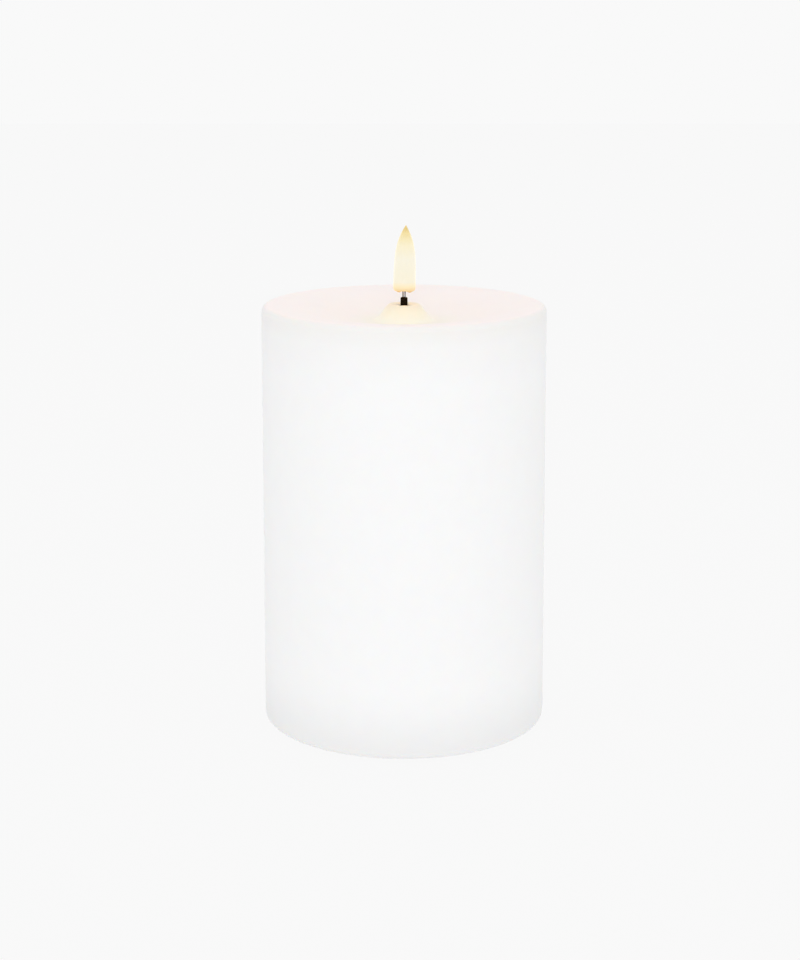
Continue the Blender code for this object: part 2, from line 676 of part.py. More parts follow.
def make_control_board():
    cx, cy = BOARD_CENTRE
    w, d = BOARD_SIZE[0] / 2, BOARD_SIZE[1] / 2
    low, high = (cx - w, cy - d, BOARD_BOTTOM_Z), (cx + w, cy + d, BOARD_TOP_Z)
    board = box("control_board", low, high, "board")
    for i, centre in enumerate(BOARD_SCREWS):
        cut(board, prism(f"board_hole_{i}", circle(1.5, centre, 12), BOARD_BOTTOM_Z - 1, BOARD_TOP_Z + 1))
    for i, centre in enumerate(switch_legs()):
        cut(board, prism(f"leg_hole_{i}", circle(0.75, centre, 8), BOARD_BOTTOM_Z - 1, BOARD_TOP_Z + 1))


def switch_legs():
    x, y = SWITCH_CENTRE
    return [(x + dx, y + dy) for dx in (-3.75, -1.25, 1.25, 3.75) for dy in (-2.3, 2.3)]


def make_board_screws():
    for i, centre in enumerate(BOARD_SCREWS, 1):
        make_screw(f"board_screw_{i}", centre, BOARD_TOP_Z + GAP, BOARD_SCREW, up=False)


def make_case_screws():
    for i, centre in enumerate(CASE_EARS, 1):
        make_screw(f"case_screw_{i}", centre, EAR_TOP_Z + GAP, CASE_SCREW, up=False)


def make_switch():
    x, y = SWITCH_CENTRE
    top = BOARD_BOTTOM_Z - GAP
    housing = box("switch_housing", (x - 6.6, y - 3.3, 4.4), (x + 6.6, y + 3.3, top), "steel", bevel=0.3)
    cut(housing, box("knob_slot", (x - 4.9, y - 1.8, 3.0), (x + 4.9, y + 1.8, 6.9)))
    for i, centre in enumerate(switch_legs()):
        join(housing, prism(f"leg_{i}", circle(0.4, centre, 6), top - 0.5, BOARD_TOP_Z + 1.0))
    knob_x = x + SWITCH_ON_OFFSET
    knob = box("switch_knob", (knob_x - 2.0, y - 1.4, 4.9), (knob_x + 2.0, y + 1.4, 6.5), "black_plastic")
    join(knob, box("knob_stem", (knob_x - 1.7, y - 1.25, 1.5), (knob_x + 1.7, y + 1.25, 5.2)))
    for i in (-1, 0, 1):
        groove = knob_x + 1.05 * i
        cut(knob, box(f"knob_groove_{i}", (groove - 0.22, y - 2, 0.5), (groove + 0.22, y + 2, 1.9)))


def make_board_parts():
    # Eight-legged timer chip.
    x, y = -4.0, 31.0
    low, high = (x - 2.5, y - 1.9, PART_Z + 0.15), (x + 2.5, y + 1.9, PART_Z + 1.65)
    chip = box("controller_chip", low, high, "black_plastic")
    for i in range(4):
        leg_x = x - 1.905 + 1.27 * i
        leg = box(f"chip_leg_{i}", (leg_x - 0.2, y - 2.8, PART_Z), (leg_x + 0.2, y + 2.8, PART_Z + 0.5))
        join(chip, leg)
    # Storage capacitor standing on its rubber bung.
    radius, height = 3.15, 7.7
    can = [
        (0, PART_Z), (radius, PART_Z), (radius, PART_Z + 1.0), (radius - 0.3, PART_Z + 1.4),
        (radius, PART_Z + 1.8), (radius, PART_Z + height - 0.4), (radius - 0.4, PART_Z + height),
        (0, PART_Z + height),
    ]
    turned("capacitor", can, "black_plastic", steps=16, centre=(-11.5, 20.0))
    # Watch crystal for the six-hour timer, lying down.
    rod("crystal", (-14.0, 26.2, PART_Z + 1.05), (-8.0, 26.2, PART_Z + 1.05), 1.0, "steel", steps=16)
    # Infrared receiver: a block with a round lens that looks outwards.
    x, y = 9.0, 31.4
    low, high = (x - 2.9, y - 1.4, PART_Z), (x + 2.9, y + 1.2, PART_Z + 6.4)
    receiver = box("ir_receiver", low, high, "black_plastic", bevel=0.3)
    lens = rod("receiver_lens", (x, y, PART_Z + 4.0), (x, y + 2.3, PART_Z + 4.0), 1.9, steps=20)
    join(receiver, lens)
    for i, (rx, ry) in enumerate(((3.2, 31.0), (3.2, 28.6)), 1):
        low, high = (rx - 1.6, ry - 0.8, PART_Z), (rx + 1.6, ry + 0.8, PART_Z + 0.65)
        box(f"resistor_{i}", low, high, "black_plastic")


def make_lamp_connector():
    """A two-pin header on the board with the lamp wires' plug in it."""
    x, y = PLUG_CENTRE
    low, high = (x - 3.9, y - 2.9, PART_Z), (x + 3.9, y + 2.9, PART_Z + 6.0)
    header = box("lamp_header", low, high, "white_plastic")
    cut(header, box("header_hollow", (x - 3.1, y - 2.1, PART_Z + 1.2), (x + 3.1, y + 2.1, PART_Z + 8)))
    cut(header, box("header_key", (x - 1.5, y - 4.0, PART_Z + 2.5), (x + 1.5, y - 1.0, PART_Z + 8)))
    low, high = (x - 2.75, y - 1.75, PART_Z + 1.5), (x + 2.75, y + 1.75, PART_Z + 8.0)
    plug = box("lamp_plug", low, high, "white_plastic")
    for i in (-0.5, 0.5):
        cut(plug, prism(f"wire_way_{i}", circle(0.85, (x + i * PLUG_PITCH, y), 12), PART_Z + 5.0, PART_Z + 9))
    join(plug, box("plug_key", (x - 1.1, y - 2.5, PART_Z + 3.0), (x + 1.1, y - 1.6, PART_Z + 7.4)))


# --- wires ---

def make_battery_wires():
    """From each contact tab over the case and down its long side to a pad on the board."""
    start_z = TAB_TOP_Z
    for name, tab_x, pad, material in (
        ("wire_battery_positive", TAB_X[0], (-18.5, 17.8), "red_wire"),
        ("wire_battery_negative", TAB_X[1], (20.5, 27.0), "black_wire"),
    ):
        side = math.copysign(1, tab_x)
        down_x = side * 26.5
        route = [
            (tab_x + side * 1.0, CELL_Y, start_z - 1.0),
            (tab_x + side * 1.0, CELL_Y, start_z + 2.0),
            (tab_x + side * 1.2, CELL_Y + 4.0, start_z + 4.2),
            (down_x, 0.0, start_z + 3.0),
            (down_x + side * 1.5, 8.0, 70.0),
            (down_x + side * 2.0, 10.5, 45.0),
            (down_x + side * 1.5, 12.0, 24.0),
            (pad[0] + side * 1.2, pad[1] - 1.0, 17.0),
            (pad[0], pad[1], PART_Z + 2.5),
            (pad[0], pad[1], PART_Z),
        ]
        wire(name, smooth_route(route), WIRE_RADIUS, material)


def make_lamp_wires():
    """Up from the plug past the case to the splices under the wick."""
    x, y = PLUG_CENTRE
    for name, side, material in (
        ("wire_lamp_positive", 1, "red_wire"),
        ("wire_lamp_negative", -1, "black_wire"),
    ):
        route = [
            (x + side * PLUG_PITCH / 2, y, PART_Z + 5.3),
            (x + side * PLUG_PITCH / 2, y, PART_Z + 10.0),
            (x + 0.6 + side * 1.0, y + 0.4, 40.0),
            (x + 0.2 + side * 1.0, y - 0.6, 62.0),
            (x - 2.0 + side * 1.0, y - 3.5, 84.0),
            (x - 7.0 + side * 1.0, y - 9.5, 104.0),
            (3.0 + side * 1.3, 3.5, 119.0),
            (0.3 + side * SPLICE_OFFSET, 0.3, 126.5),
            (side * SPLICE_OFFSET, 0.0, SPLICE_Z - 0.3),
        ]
        wire(name, smooth_route(route), WIRE_RADIUS, material)


# --- wick, lamp and flame ---

def make_splices():
    profile = [(0.78, SPLICE_Z - 3.5), (1.12, SPLICE_Z - 3.5), (1.12, SPLICE_Z + 3.0), (0.78, SPLICE_Z + 3.0)]
    for i, side in enumerate((1, -1), 1):
        turned(f"splice_sleeve_{i}", profile, "black_plastic", steps=12, centre=(side * SPLICE_OFFSET, 0))


def make_wick_holder():
    """A flanged bush through the liner's top that holds the wick upright."""
    bore, neck, flange = WICK_RADIUS + 0.35, 6.0, 9.5
    flange_top = LINER_TOP_Z - LINER_WALL - GAP
    profile = [
        (bore, flange_top - 2.0),
        (flange - 0.4, flange_top - 2.0),
        (flange, flange_top - 1.6),
        (flange, flange_top),
        (neck, flange_top),
        (neck, WAX_ROOF_Z - GAP),
        (bore, WAX_ROOF_Z - GAP),
    ]
    turned("wick_holder", profile, "white_plastic", steps=24)


def make_wick():
    profile = [
        (WICK_BORE, WICK_BOTTOM_Z),
        (WICK_RADIUS, WICK_BOTTOM_Z),
        (WICK_RADIUS, WICK_TOP_Z - 0.35),
        (WICK_RADIUS - 0.25, WICK_TOP_Z),
        (WICK_BORE, WICK_TOP_Z),
    ]
    turned("wick_sleeve", profile, "wick_black", steps=16)


def make_leads():
    """Two bare legs from the lamp down the wick's bore, splayed below it to reach the splices."""
    for i, side in enumerate((1, -1), 1):
        x = side * LEAD_OFFSET
        route = [
            (x, 0, LED_BASE_Z - GAP),
            (x, 0, WICK_BOTTOM_Z + 1.0),
            (x + side * 0.35, 0, WICK_BOTTOM_Z - 0.6),
            (side * SPLICE_OFFSET, 0, SPLICE_Z + 3.2),
            (side * SPLICE_OFFSET, 0, SPLICE_Z),
        ]
        wire(f"led_lead_{i}", route, LEAD_RADIUS, "steel", sides=1)


def flame_outline(steps=9):
    """The flame's outer profile: a pointed tip, a long straight body and a rounded foot."""
    points = [(0, FLAME_BOTTOM_Z + FLAME_HEIGHT)]
    body = FLAME_HEIGHT - FLAME_FOOT_HEIGHT
    heights = [FLAME_HEIGHT - body * (i / steps) ** 1.4 for i in range(1, steps + 1)]
    heights += [FLAME_FOOT_HEIGHT * share for share in (0.5, 0.17, 0.0)]
    for height in heights:
        radius = FLAME_RADIUS * (1 - (height / FLAME_HEIGHT) ** 4.2) ** 0.9
        under_foot = max(0.0, 1 - height / FLAME_FOOT_HEIGHT)
        radius -= (FLAME_RADIUS - FLAME_FOOT_RADIUS) * under_foot**3
        points.append((radius, FLAME_BOTTOM_Z + height))
    return points


def make_flame():
    """The translucent flame, hollow at its foot for the lamp. Both lean a little."""
    pivot = bpy.data.objects.new("flame_pivot", None)
    pivot.location = (0, 0, WICK_TOP_Z * MM)
    pivot.rotation_euler = (0, math.radians(FLAME_LEAN_DEG), 0)
    bpy.context.scene.collection.objects.link(pivot)

    pocket_top = FLAME_BOTTOM_Z + POCKET_HEIGHT
    profile = flame_outline()
    profile += [
        (POCKET_RADIUS + 0.15, FLAME_BOTTOM_Z), (POCKET_RADIUS, FLAME_BOTTOM_Z + 0.2),
        (POCKET_RADIUS, pocket_top - 1.8), (POCKET_RADIUS * 0.72, pocket_top - 0.7), (0, pocket_top),
    ]
    lens = turned("flame_lens", profile, "flame", steps=24)

    flange, top = LED_RADIUS + 0.15, LED_BASE_Z + LED_HEIGHT
    led = [(0, LED_BASE_Z), (flange, LED_BASE_Z), (flange, LED_BASE_Z + 0.8), (LED_RADIUS, LED_BASE_Z + 0.8)]
    led += arc((0, top - LED_RADIUS), LED_RADIUS, 0, 75)
    led += [(0, top)]
    lamp = turned("flame_led", led, "led", steps=16)
    for obj in (lens, lamp):
        obj.parent = pivot
        obj.matrix_parent_inverse = Matrix.Translation((0, 0, -WICK_TOP_Z * MM))


def main():
    clear_scene()
    make_wax_shell()
    make_core_liner()
    make_base_plate()
    make_feet()
    make_base_screws()
    make_battery_case()
    make_case_screws()
    make_cells()
    make_case_contacts()
    make_battery_door()
    make_hinge_pin()
    make_door_contacts()
    make_control_board()
    make_board_screws()
    make_switch()
    make_board_parts()
    make_lamp_connector()
    make_battery_wires()
    make_lamp_wires()
    make_splices()
    make_wick_holder()
    make_wick()
    make_leads()
    make_flame()


main()
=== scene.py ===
"""Looks of the flameless LED candle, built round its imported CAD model.

The wax, the flame, the wick and the small turned pieces are made again here as fine meshes. All
other CAD nodes stay, with better materials, and many with rounded edges. Everything is in metres, and every
size comes from the frame or from the named values below, which are in millimetres.
"""

import math

import bmesh
import bpy
from mathutils import Matrix, Vector, noise


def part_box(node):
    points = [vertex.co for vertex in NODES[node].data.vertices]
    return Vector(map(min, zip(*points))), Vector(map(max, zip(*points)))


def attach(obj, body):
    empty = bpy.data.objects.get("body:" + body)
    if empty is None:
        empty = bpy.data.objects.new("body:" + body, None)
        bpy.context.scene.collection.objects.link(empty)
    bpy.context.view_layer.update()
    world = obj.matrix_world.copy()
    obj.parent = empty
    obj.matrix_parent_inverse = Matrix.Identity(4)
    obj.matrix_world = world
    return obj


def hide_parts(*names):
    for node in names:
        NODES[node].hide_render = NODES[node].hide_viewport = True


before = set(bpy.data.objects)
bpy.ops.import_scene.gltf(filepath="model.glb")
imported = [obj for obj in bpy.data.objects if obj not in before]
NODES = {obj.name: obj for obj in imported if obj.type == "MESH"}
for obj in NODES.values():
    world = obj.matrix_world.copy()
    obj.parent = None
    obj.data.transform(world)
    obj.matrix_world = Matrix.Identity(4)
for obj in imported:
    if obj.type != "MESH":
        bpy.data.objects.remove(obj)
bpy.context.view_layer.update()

MM = 0.001
CANDLE, DOOR = "candle", "door"


# --- sizes taken from the frame, in millimetres ---


def span(node):
    """Lowest and highest corner of a CAD node, in millimetres."""
    low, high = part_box(node)
    return low / MM, high / MM


def middle(node):
    low, high = span(node)
    return (low + high) / 2


def axis(node):
    """Where a node's vertical axis stands, as (x, y)."""
    low, high = span(node)
    return ((low.x + high.x) / 2, (low.y + high.y) / 2)


WAX_LOW, WAX_HIGH = span("wax_shell")
WAX_RADIUS = WAX_HIGH.x
RIM_Z = WAX_HIGH.z
WAX_BOTTOM_Z = WAX_LOW.z
BASE_BOTTOM_Z = span("base_plate")[0].z
WICK_LOW, WICK_HIGH = span("wick_sleeve")
WICK_RADIUS = WICK_HIGH.x

# The rest of the wax's shape, as in the CAD model.
CAVITY_RADIUS = 45.0
ROOF_Z = 139.0
RIM_ROUND = 2.2
FOOT_ROUND = 3.0
RIM_CREST = WAX_RADIUS - RIM_ROUND
BOWL_DEPTH = 6.0
BOWL_FLOOR_RADIUS = 12.5
COLLAR_RADIUS = 5.0
COLLAR_FLARE = 1.5
CRATER_DEPTH = 0.5
WICK_HOLE = WICK_RADIUS + 0.4

# The wick's bore, as in the CAD model, and its weave, which only the fine mesh has.
WICK_BORE = 0.9
WEAVE_STRANDS = 4
WEAVE_PITCH = 1.15


# --- mesh helpers ---

WELD_DISTANCE = 0.005  # corners of the CAD meshes that are nearer than this are joined


def link(name, mesh, sharp=None):
    """An object for the mesh, shaded smooth apart from edges sharper than that angle."""
    if sharp is not None:
        mesh.shade_smooth()
        mesh.set_sharp_from_angle(angle=math.radians(sharp))
    obj = bpy.data.objects.new(name, mesh)
    bpy.context.scene.collection.objects.link(obj)
    return obj


def from_bmesh(name, bm, sharp=None):
    """Turns a bmesh in millimetres into an object in metres."""
    bmesh.ops.recalc_face_normals(bm, faces=bm.faces)
    bmesh.ops.scale(bm, vec=(MM, MM, MM), verts=bm.verts)
    mesh = bpy.data.meshes.new(name)
    bm.to_mesh(mesh)
    bm.free()
    return link(name, mesh, sharp)


def turned(name, profile, steps=96, centre=(0.0, 0.0), sharp=40, shift=None):
    """A profile of (radius, z) turned round a vertical axis, closed on the axis or as a ring.

    shift(point, radius) may move each point, to make a hand-made surface of a lathe-made one.
    """
    bm = bmesh.new()
    rings = []
    for radius, z in profile:
        ring = []
        for i in range(1 if radius == 0 else steps):
            angle = 2 * math.pi * i / steps
            point = Vector((radius * math.cos(angle), radius * math.sin(angle), z))
            if shift:
                point = shift(point, radius)
            ring.append(bm.verts.new(point + Vector((*centre, 0.0))))
        rings.append(ring)
    pairs = list(zip(rings, rings[1:]))
    if len(rings[0]) > 1 and len(rings[-1]) > 1:
        pairs.append((rings[-1], rings[0]))
    for low, high in pairs:
        for i in range(steps):
            j = (i + 1) % steps
            corners = [low[i % len(low)], low[j % len(low)], high[j % len(high)], high[i % len(high)]]
            bm.faces.new(list(dict.fromkeys(corners)))
    return from_bmesh(name, bm, sharp)


def arc(centre, radius, start_deg, end_deg, steps):
    """Profile points along an arc, angles measured from +r towards +z."""
    points = []
    for i in range(steps + 1):
        angle = math.radians(start_deg + (end_deg - start_deg) * i / steps)
        points.append((centre[0] + radius * math.cos(angle), centre[1] + radius * math.sin(angle)))
    return points


def prism(name, outline, z0, z1):
    """An outline of (x, y) stood up from z0 to z1."""
    bm = bmesh.new()
    face = bm.faces.new([bm.verts.new((x, y, z0)) for x, y in outline])
    made = bmesh.ops.extrude_face_region(bm, geom=[face])
    top = [v for v in made["geom"] if isinstance(v, bmesh.types.BMVert)]
    bmesh.ops.translate(bm, vec=(0, 0, z1 - z0), verts=top)
    return from_bmesh(name, bm, sharp=40)


def tube(name, route, radius):
    """A round wire along a route of points in millimetres, narrower at its two ends."""
    sides, tip_share = 12, 0.55
    points = [Vector(p) for p in route]
    bm = bmesh.new()
    rings = []
    side = (points[1] - points[0]).orthogonal().normalized()
    for i, point in enumerate(points):
        along = (points[min(i + 1, len(points) - 1)] - points[max(i - 1, 0)]).normalized()
        side = (side - along * side.dot(along)).normalized()
        other = along.cross(side)
        here = radius * (tip_share if i in (0, len(points) - 1) else 1.0)
        turn = 2 * math.pi / sides
        rings.append([
            bm.verts.new(point + (side * math.cos(k * turn) + other * math.sin(k * turn)) * here)
            for k in range(sides)
        ])
    for low, high in zip(rings, rings[1:]):
        for k in range(sides):
            j = (k + 1) % sides
            bm.faces.new((low[k], low[j], high[j], high[k]))
    bm.faces.new(rings[0])
    bm.faces.new(rings[-1])
    return from_bmesh(name, bm, sharp=50)


def cut(obj, cutter):
    """Takes the cutter's shape out of an object, and deletes the cutter."""
    modifier = obj.modifiers.new("cut", "BOOLEAN")
    modifier.operation = "DIFFERENCE"
    modifier.object = cutter
    modifier.solver = "EXACT"
    apply_modifiers(obj)
    bpy.data.objects.remove(cutter)


def apply_modifiers(obj):
    """Bakes an object's modifiers into its mesh."""
    graph = bpy.context.evaluated_depsgraph_get()
    mesh = bpy.data.meshes.new_from_object(obj.evaluated_get(graph))
    obj.modifiers.clear()
    obj.data = mesh


def round_edges(obj, width):
    """Joins a CAD mesh's doubled corners, and rounds its edges that are sharper than 40 degrees."""
    merge = obj.modifiers.new("weld", "WELD")
    merge.merge_threshold = WELD_DISTANCE * MM
    bevel = obj.modifiers.new("round", "BEVEL")
    bevel.width = width * MM
    bevel.segments = 2
    bevel.limit_method = "ANGLE"
    bevel.angle_limit = math.radians(40)
    bevel.harden_normals = True


def coat(obj, material):
    """Makes that material the object's only one."""
    obj.data.materials.clear()
    obj.data.materials.append(material)


def stands_for(obj, node, body, material):
    """A fine mesh that is shown in place of a CAD node."""
    coat(obj, material)
    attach(obj, body)
    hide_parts(node)
    return obj


def added(obj, body, material):
    """A fine mesh that no CAD node has."""
    coat(obj, material)
    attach(obj, body)
    return obj


# --- material helpers ---


class Shader:
    """A Principled material with short ways to add the usual texture nodes."""

    def __init__(self, name, roughness=0.5, metallic=0.0, **sockets):
        self.material = bpy.data.materials.new(name)
        self.material.use_nodes = True
        self.tree = self.material.node_tree
        self.bsdf = self.tree.nodes["Principled BSDF"]
        self.bsdf.inputs["Roughness"].default_value = roughness
        self.bsdf.inputs["Metallic"].default_value = metallic
        for socket, value in sockets.items():
            self.bsdf.inputs[socket.replace("_", " ")].default_value = value
        self.place = self.node("ShaderNodeTexCoord").outputs["Object"]

    def node(self, kind, inputs=None, **settings):
        """A new node, with each input linked to a socket or set to a value."""
        made = self.tree.nodes.new(kind)
        for key, value in settings.items():
            setattr(made, key, value)
        for key, value in (inputs or {}).items():
            if isinstance(value, bpy.types.NodeSocket):
                self.tree.links.new(value, made.inputs[key])
            else:
                made.inputs[key].default_value = value
        return made

    def to(self, socket, value):
        """Feeds a value into a socket of the Principled node."""
        self.tree.links.new(value, self.bsdf.inputs[socket])

    def noise(self, size, detail=2.0, stretch=(1, 1, 1)):
        """Noise from 0 to 1 whose features are about size millimetres across."""
        spread = self.node("ShaderNodeVectorMath", {0: self.place, 1: stretch}, operation="MULTIPLY")
        scale = 1.0 / (size * MM)
        inputs = {"Vector": spread.outputs[0], "Scale": scale, "Detail": detail}
        return self.node("ShaderNodeTexNoise", inputs).outputs["Fac"]

    def ranged(self, value, low, high, start=0.3, end=0.7):
        """Maps start to low and end to high. Noise seldom goes beyond the usual start and end."""
        return self.node(
            "ShaderNodeMapRange",
            {"Value": value, "From Min": start, "From Max": end, "To Min": low, "To Max": high},
        ).outputs["Result"]

    def smooth(self, value, start, end):
        """0 at start and 1 at end, with a soft step between."""
        return self.node(
            "ShaderNodeMapRange", {"Value": value, "From Min": start, "From Max": end},
            interpolation_type="SMOOTHSTEP",
        ).outputs["Result"]

    def blend_values(self, share, one, two):
        """The first number where share is 0, and the second where it is 1."""
        made = self.node("ShaderNodeMix", {"Factor": share}, data_type="FLOAT")
        self.tree.links.new(one, made.inputs["A"])
        self.tree.links.new(two, made.inputs["B"])
        return made.outputs["Result"]

    def ramp(self, value, stops, interpolation="LINEAR"):
        """A colour ramp through (position, colour) stops."""
        made = self.node("ShaderNodeValToRGB", {"Fac": value})
        ramp = made.color_ramp
        ramp.interpolation = interpolation
        while len(ramp.elements) < len(stops):
            ramp.elements.new(0.5)
        for element, (position, colour) in zip(ramp.elements, sorted(stops)):
            element.position = position
            element.color = (*colour, 1.0)
        return made.outputs["Color"]

    def mix(self, share, one, two, blend="MIX"):
        """The first colour where share is 0, and the second, blended that way, where it is 1."""
        made = self.node("ShaderNodeMix", data_type="RGBA", blend_type=blend)
        for key, value in (("Factor", share), ("A", one), ("B", two)):
            socket = [s for s in made.inputs if s.name == key and s.enabled][0]
            if isinstance(value, bpy.types.NodeSocket):
                self.tree.links.new(value, socket)
            elif key == "Factor":
                socket.default_value = value
            else:
                socket.default_value = (*value, 1.0)
        return [s for s in made.outputs if s.enabled][0]

    def maths(self, operation, one, two=None):
        inputs = {0: one} if two is None else {0: one, 1: two}
        return self.node("ShaderNodeMath", inputs, operation=operation).outputs[0]

    def bump(self, height, depth):
        """Bumps of a height of depth millimetres. Later calls add to earlier ones."""
        inputs = {"Height": height, "Distance": depth * MM}
        links = self.bsdf.inputs["Normal"].links
        if links:
            inputs["Normal"] = links[0].from_socket
        self.to("Normal", self.node("ShaderNodeBump", inputs).outputs["Normal"])

    def mottle(self, socket, noise, one, two):
        """A colour socket that wanders between two colours with a noise."""
        self.to(socket, self.mix(self.ranged(noise, 0, 1), one, two))


def near(colour, change):
    """The colour, brighter by that share of itself, or darker where change is below 0."""
    return tuple(max(0.0, min(1.0, c * (1 + change))) for c in colour)


def moulded(name, colour, roughness, grain=0.35, depth=0.012):
    """Moulded plastic: spark-eroded grain, faint flow marks and handling shine."""
    made = Shader(name, roughness)
    flow = made.noise(16, detail=3, stretch=(1, 1, 2.2))
    made.mottle("Base Color", flow, near(colour, -0.035), near(colour, 0.02))
    grain_height = made.noise(grain, detail=2)
    shine = made.noise(5, detail=4)
    made.to("Roughness", made.ranged(shine, roughness - 0.07, roughness + 0.07))
    made.bump(grain_height, depth)
    return made.material


def plated(name, colour, roughness, streak=(1, 1, 14), size=1.2):
    """Plated or drawn metal: fine streaks along one way and duller patches."""
    made = Shader(name, roughness, metallic=1.0)
    streaks = made.noise(size, detail=3, stretch=streak)
    patches = made.noise(3.5, detail=3)
    made.mottle("Base Color", patches, near(colour, -0.14), near(colour, 0.06))
    made.to("Roughness", made.ranged(streaks, roughness - 0.08, roughness + 0.14))
    made.bump(streaks, 0.002)
    return made.material


def rubber_material():
    """Dull black rubber with a little dust on it."""
    made = Shader("foot_rubber", roughness=0.85)
    dust = made.noise(1.6, detail=5)
    made.mottle("Base Color", dust, (0.055, 0.055, 0.055), (0.11, 0.108, 0.105))
    made.to("Roughness", made.ranged(dust, 0.72, 0.95))
    made.bump(made.noise(0.25, detail=3), 0.02)
    return made.material


def wick_material():
    """Black woven sleeve: two crossing sets of strands, with dusty high spots."""
    made = Shader("wick_weave", roughness=0.9, Specular_IOR_Level=0.03)
    separate = made.node("ShaderNodeSeparateXYZ", {"Vector": made.place})
    angle = made.maths("ARCTAN2", separate.outputs["Y"], separate.outputs["X"])
    turns = made.maths("MULTIPLY", angle, WEAVE_STRANDS)
    climb = made.maths("MULTIPLY", separate.outputs["Z"], 2 * math.pi / (WEAVE_PITCH * MM))
    over = made.maths("SINE", made.maths("ADD", turns, climb))
    under = made.maths("SINE", made.maths("SUBTRACT", turns, climb))
    weave = made.maths("MAXIMUM", over, under)
    fibre = made.noise(0.18, detail=4, stretch=(1, 1, 0.25))
    made.to("Base Color", made.mix(
        made.ranged(made.maths("MULTIPLY", weave, fibre), 0, 1, -0.1, 0.6),
        (0.006, 0.004, 0.002), (0.022, 0.013, 0.007),
    ))
    made.bump(weave, 0.09)
    made.bump(fibre, 0.05)
    return made.material


def cell_material():
    """A plain satin jacket with a paler band, and bare steel at the ends."""
    made = Shader("cell_jacket", roughness=0.35, metallic=0.55)
    separate = made.node("ShaderNodeSeparateXYZ", {"Vector": made.place})
    low, high = span("battery_1")
    climb = made.maths("SUBTRACT", separate.outputs["Z"], low.z * MM)
    share = made.maths("DIVIDE", climb, (high.z - low.z) * MM)
    steel, dark, band = (0.62, 0.61, 0.59), (0.06, 0.065, 0.075), (0.55, 0.43, 0.26)
    colour = made.ramp(share, [
        (0.0, steel), (0.045, dark), (0.70, dark), (0.705, band), (0.955, steel),
    ], "CONSTANT")
    scuffs = made.noise(2.2, detail=5, stretch=(1, 1, 3))
    made.to("Base Color", made.mix(made.ranged(scuffs, 0.0, 0.12), colour, (0.75, 0.74, 0.72)))
    made.to("Roughness", made.ranged(scuffs, 0.26, 0.46))
    made.bump(made.noise(1.6, detail=2), 0.003)
    return made.material


def board_material():
    """Green solder mask over copper tracks, which show as a paler raised net."""
    made = Shader("solder_mask", roughness=0.35, Coat_Weight=0.3)
    tracks = made.node(
        "ShaderNodeTexBrick",
        {"Vector": made.place, "Scale": 120.0, "Mortar Size": 0.035, "Mortar Smooth": 0.1,
         "Color1": (0, 0, 0, 1), "Color2": (0, 0, 0, 1), "Mortar": (1, 1, 1, 1)},
    )
    line = tracks.outputs["Color"]
    made.to("Base Color", made.mix(line, (0.012, 0.10, 0.045), (0.045, 0.22, 0.09)))
    made.bump(line, 0.03)
    return made.material


def insulation(name, colour):
    """Soft plastic insulation, duller where it was handled."""
    made = Shader(name, roughness=0.35)
    wear = made.noise(1.4, detail=4)
    made.mottle("Base Color", wear, near(colour, -0.15), near(colour, 0.1))
    made.to("Roughness", made.ranged(wear, 0.28, 0.48))
    made.bump(made.noise(0.5, detail=2), 0.01)
    return made.material


def led_material():
    """Tinted epoxy with the lit lamp's glow."""
    made = Shader("led_epoxy", roughness=0.12, Transmission_Weight=0.4, IOR=1.5)
    core = made.noise(1.2, detail=2)
    made.mottle("Base Color", core, (0.95, 0.78, 0.38), (1.0, 0.9, 0.55))
    made.mottle("Emission Color", core, (1.0, 0.66, 0.26), (1.0, 0.8, 0.42))
    made.bsdf.inputs["Emission Strength"].default_value = 2.0
    return made.material


# --- wax ---

# Base colours in linear light: outside, in the bowl, on the collar's flank and round the wick.
# All but the outside one carry painted light: a painted warm flame-lit tint in the bowl and on the
# collar, and a painted shadow, darker and warmer, round the wick.
WHITE_WAX = (0.921, 0.923, 0.926)
BOWL_FLAME_LIT_WAX = (0.931, 0.890, 0.872)
COLLAR_FLAME_LIT_WAX = (0.925, 0.880, 0.790)
WICK_SHADOW_WAX = (0.900, 0.800, 0.650)

# How far the poured surface wanders: in over the side, down round the rim and both ways in the
# bowl.
SIDE_WAVE = 0.03
RIM_DIP = 0.10
BOWL_WAVE = 0.14

# Painted shade on the side, by share of the height: darker towards the foot, and a little darker
# and warmer under the rim.
PAINTED_SIDE_SHADE = (
    (0.0, (0.885,) * 3), (0.035, (0.915,) * 3), (0.075, (0.945,) * 3), (0.125, (0.982,) * 3),
    (0.17, (1.0,) * 3), (0.86, (1.0,) * 3), (0.95, (0.980, 0.976, 0.968)), (1.0, (0.945, 0.932, 0.908)),
)


def bowl_fall(radius):
    """How far the melted top lies below the rim at a radius: 0 at the crest, the full depth at
    the foot of the collar round the wick, 0 on the collar's top, and a small dimple at the wick."""
    if radius > BOWL_FLOOR_RADIUS:
        share = (RIM_CREST - radius) / (RIM_CREST - BOWL_FLOOR_RADIUS)
        return BOWL_DEPTH * (1 - math.cos(math.pi * share)) / 2
    if radius > COLLAR_RADIUS:
        share = (BOWL_FLOOR_RADIUS - radius) / (BOWL_FLOOR_RADIUS - COLLAR_RADIUS)
        return BOWL_DEPTH * (1 + math.cos(math.pi * share**COLLAR_FLARE)) / 2
    share = (COLLAR_RADIUS - radius) / (COLLAR_RADIUS - WICK_HOLE)
    return CRATER_DEPTH * share**2


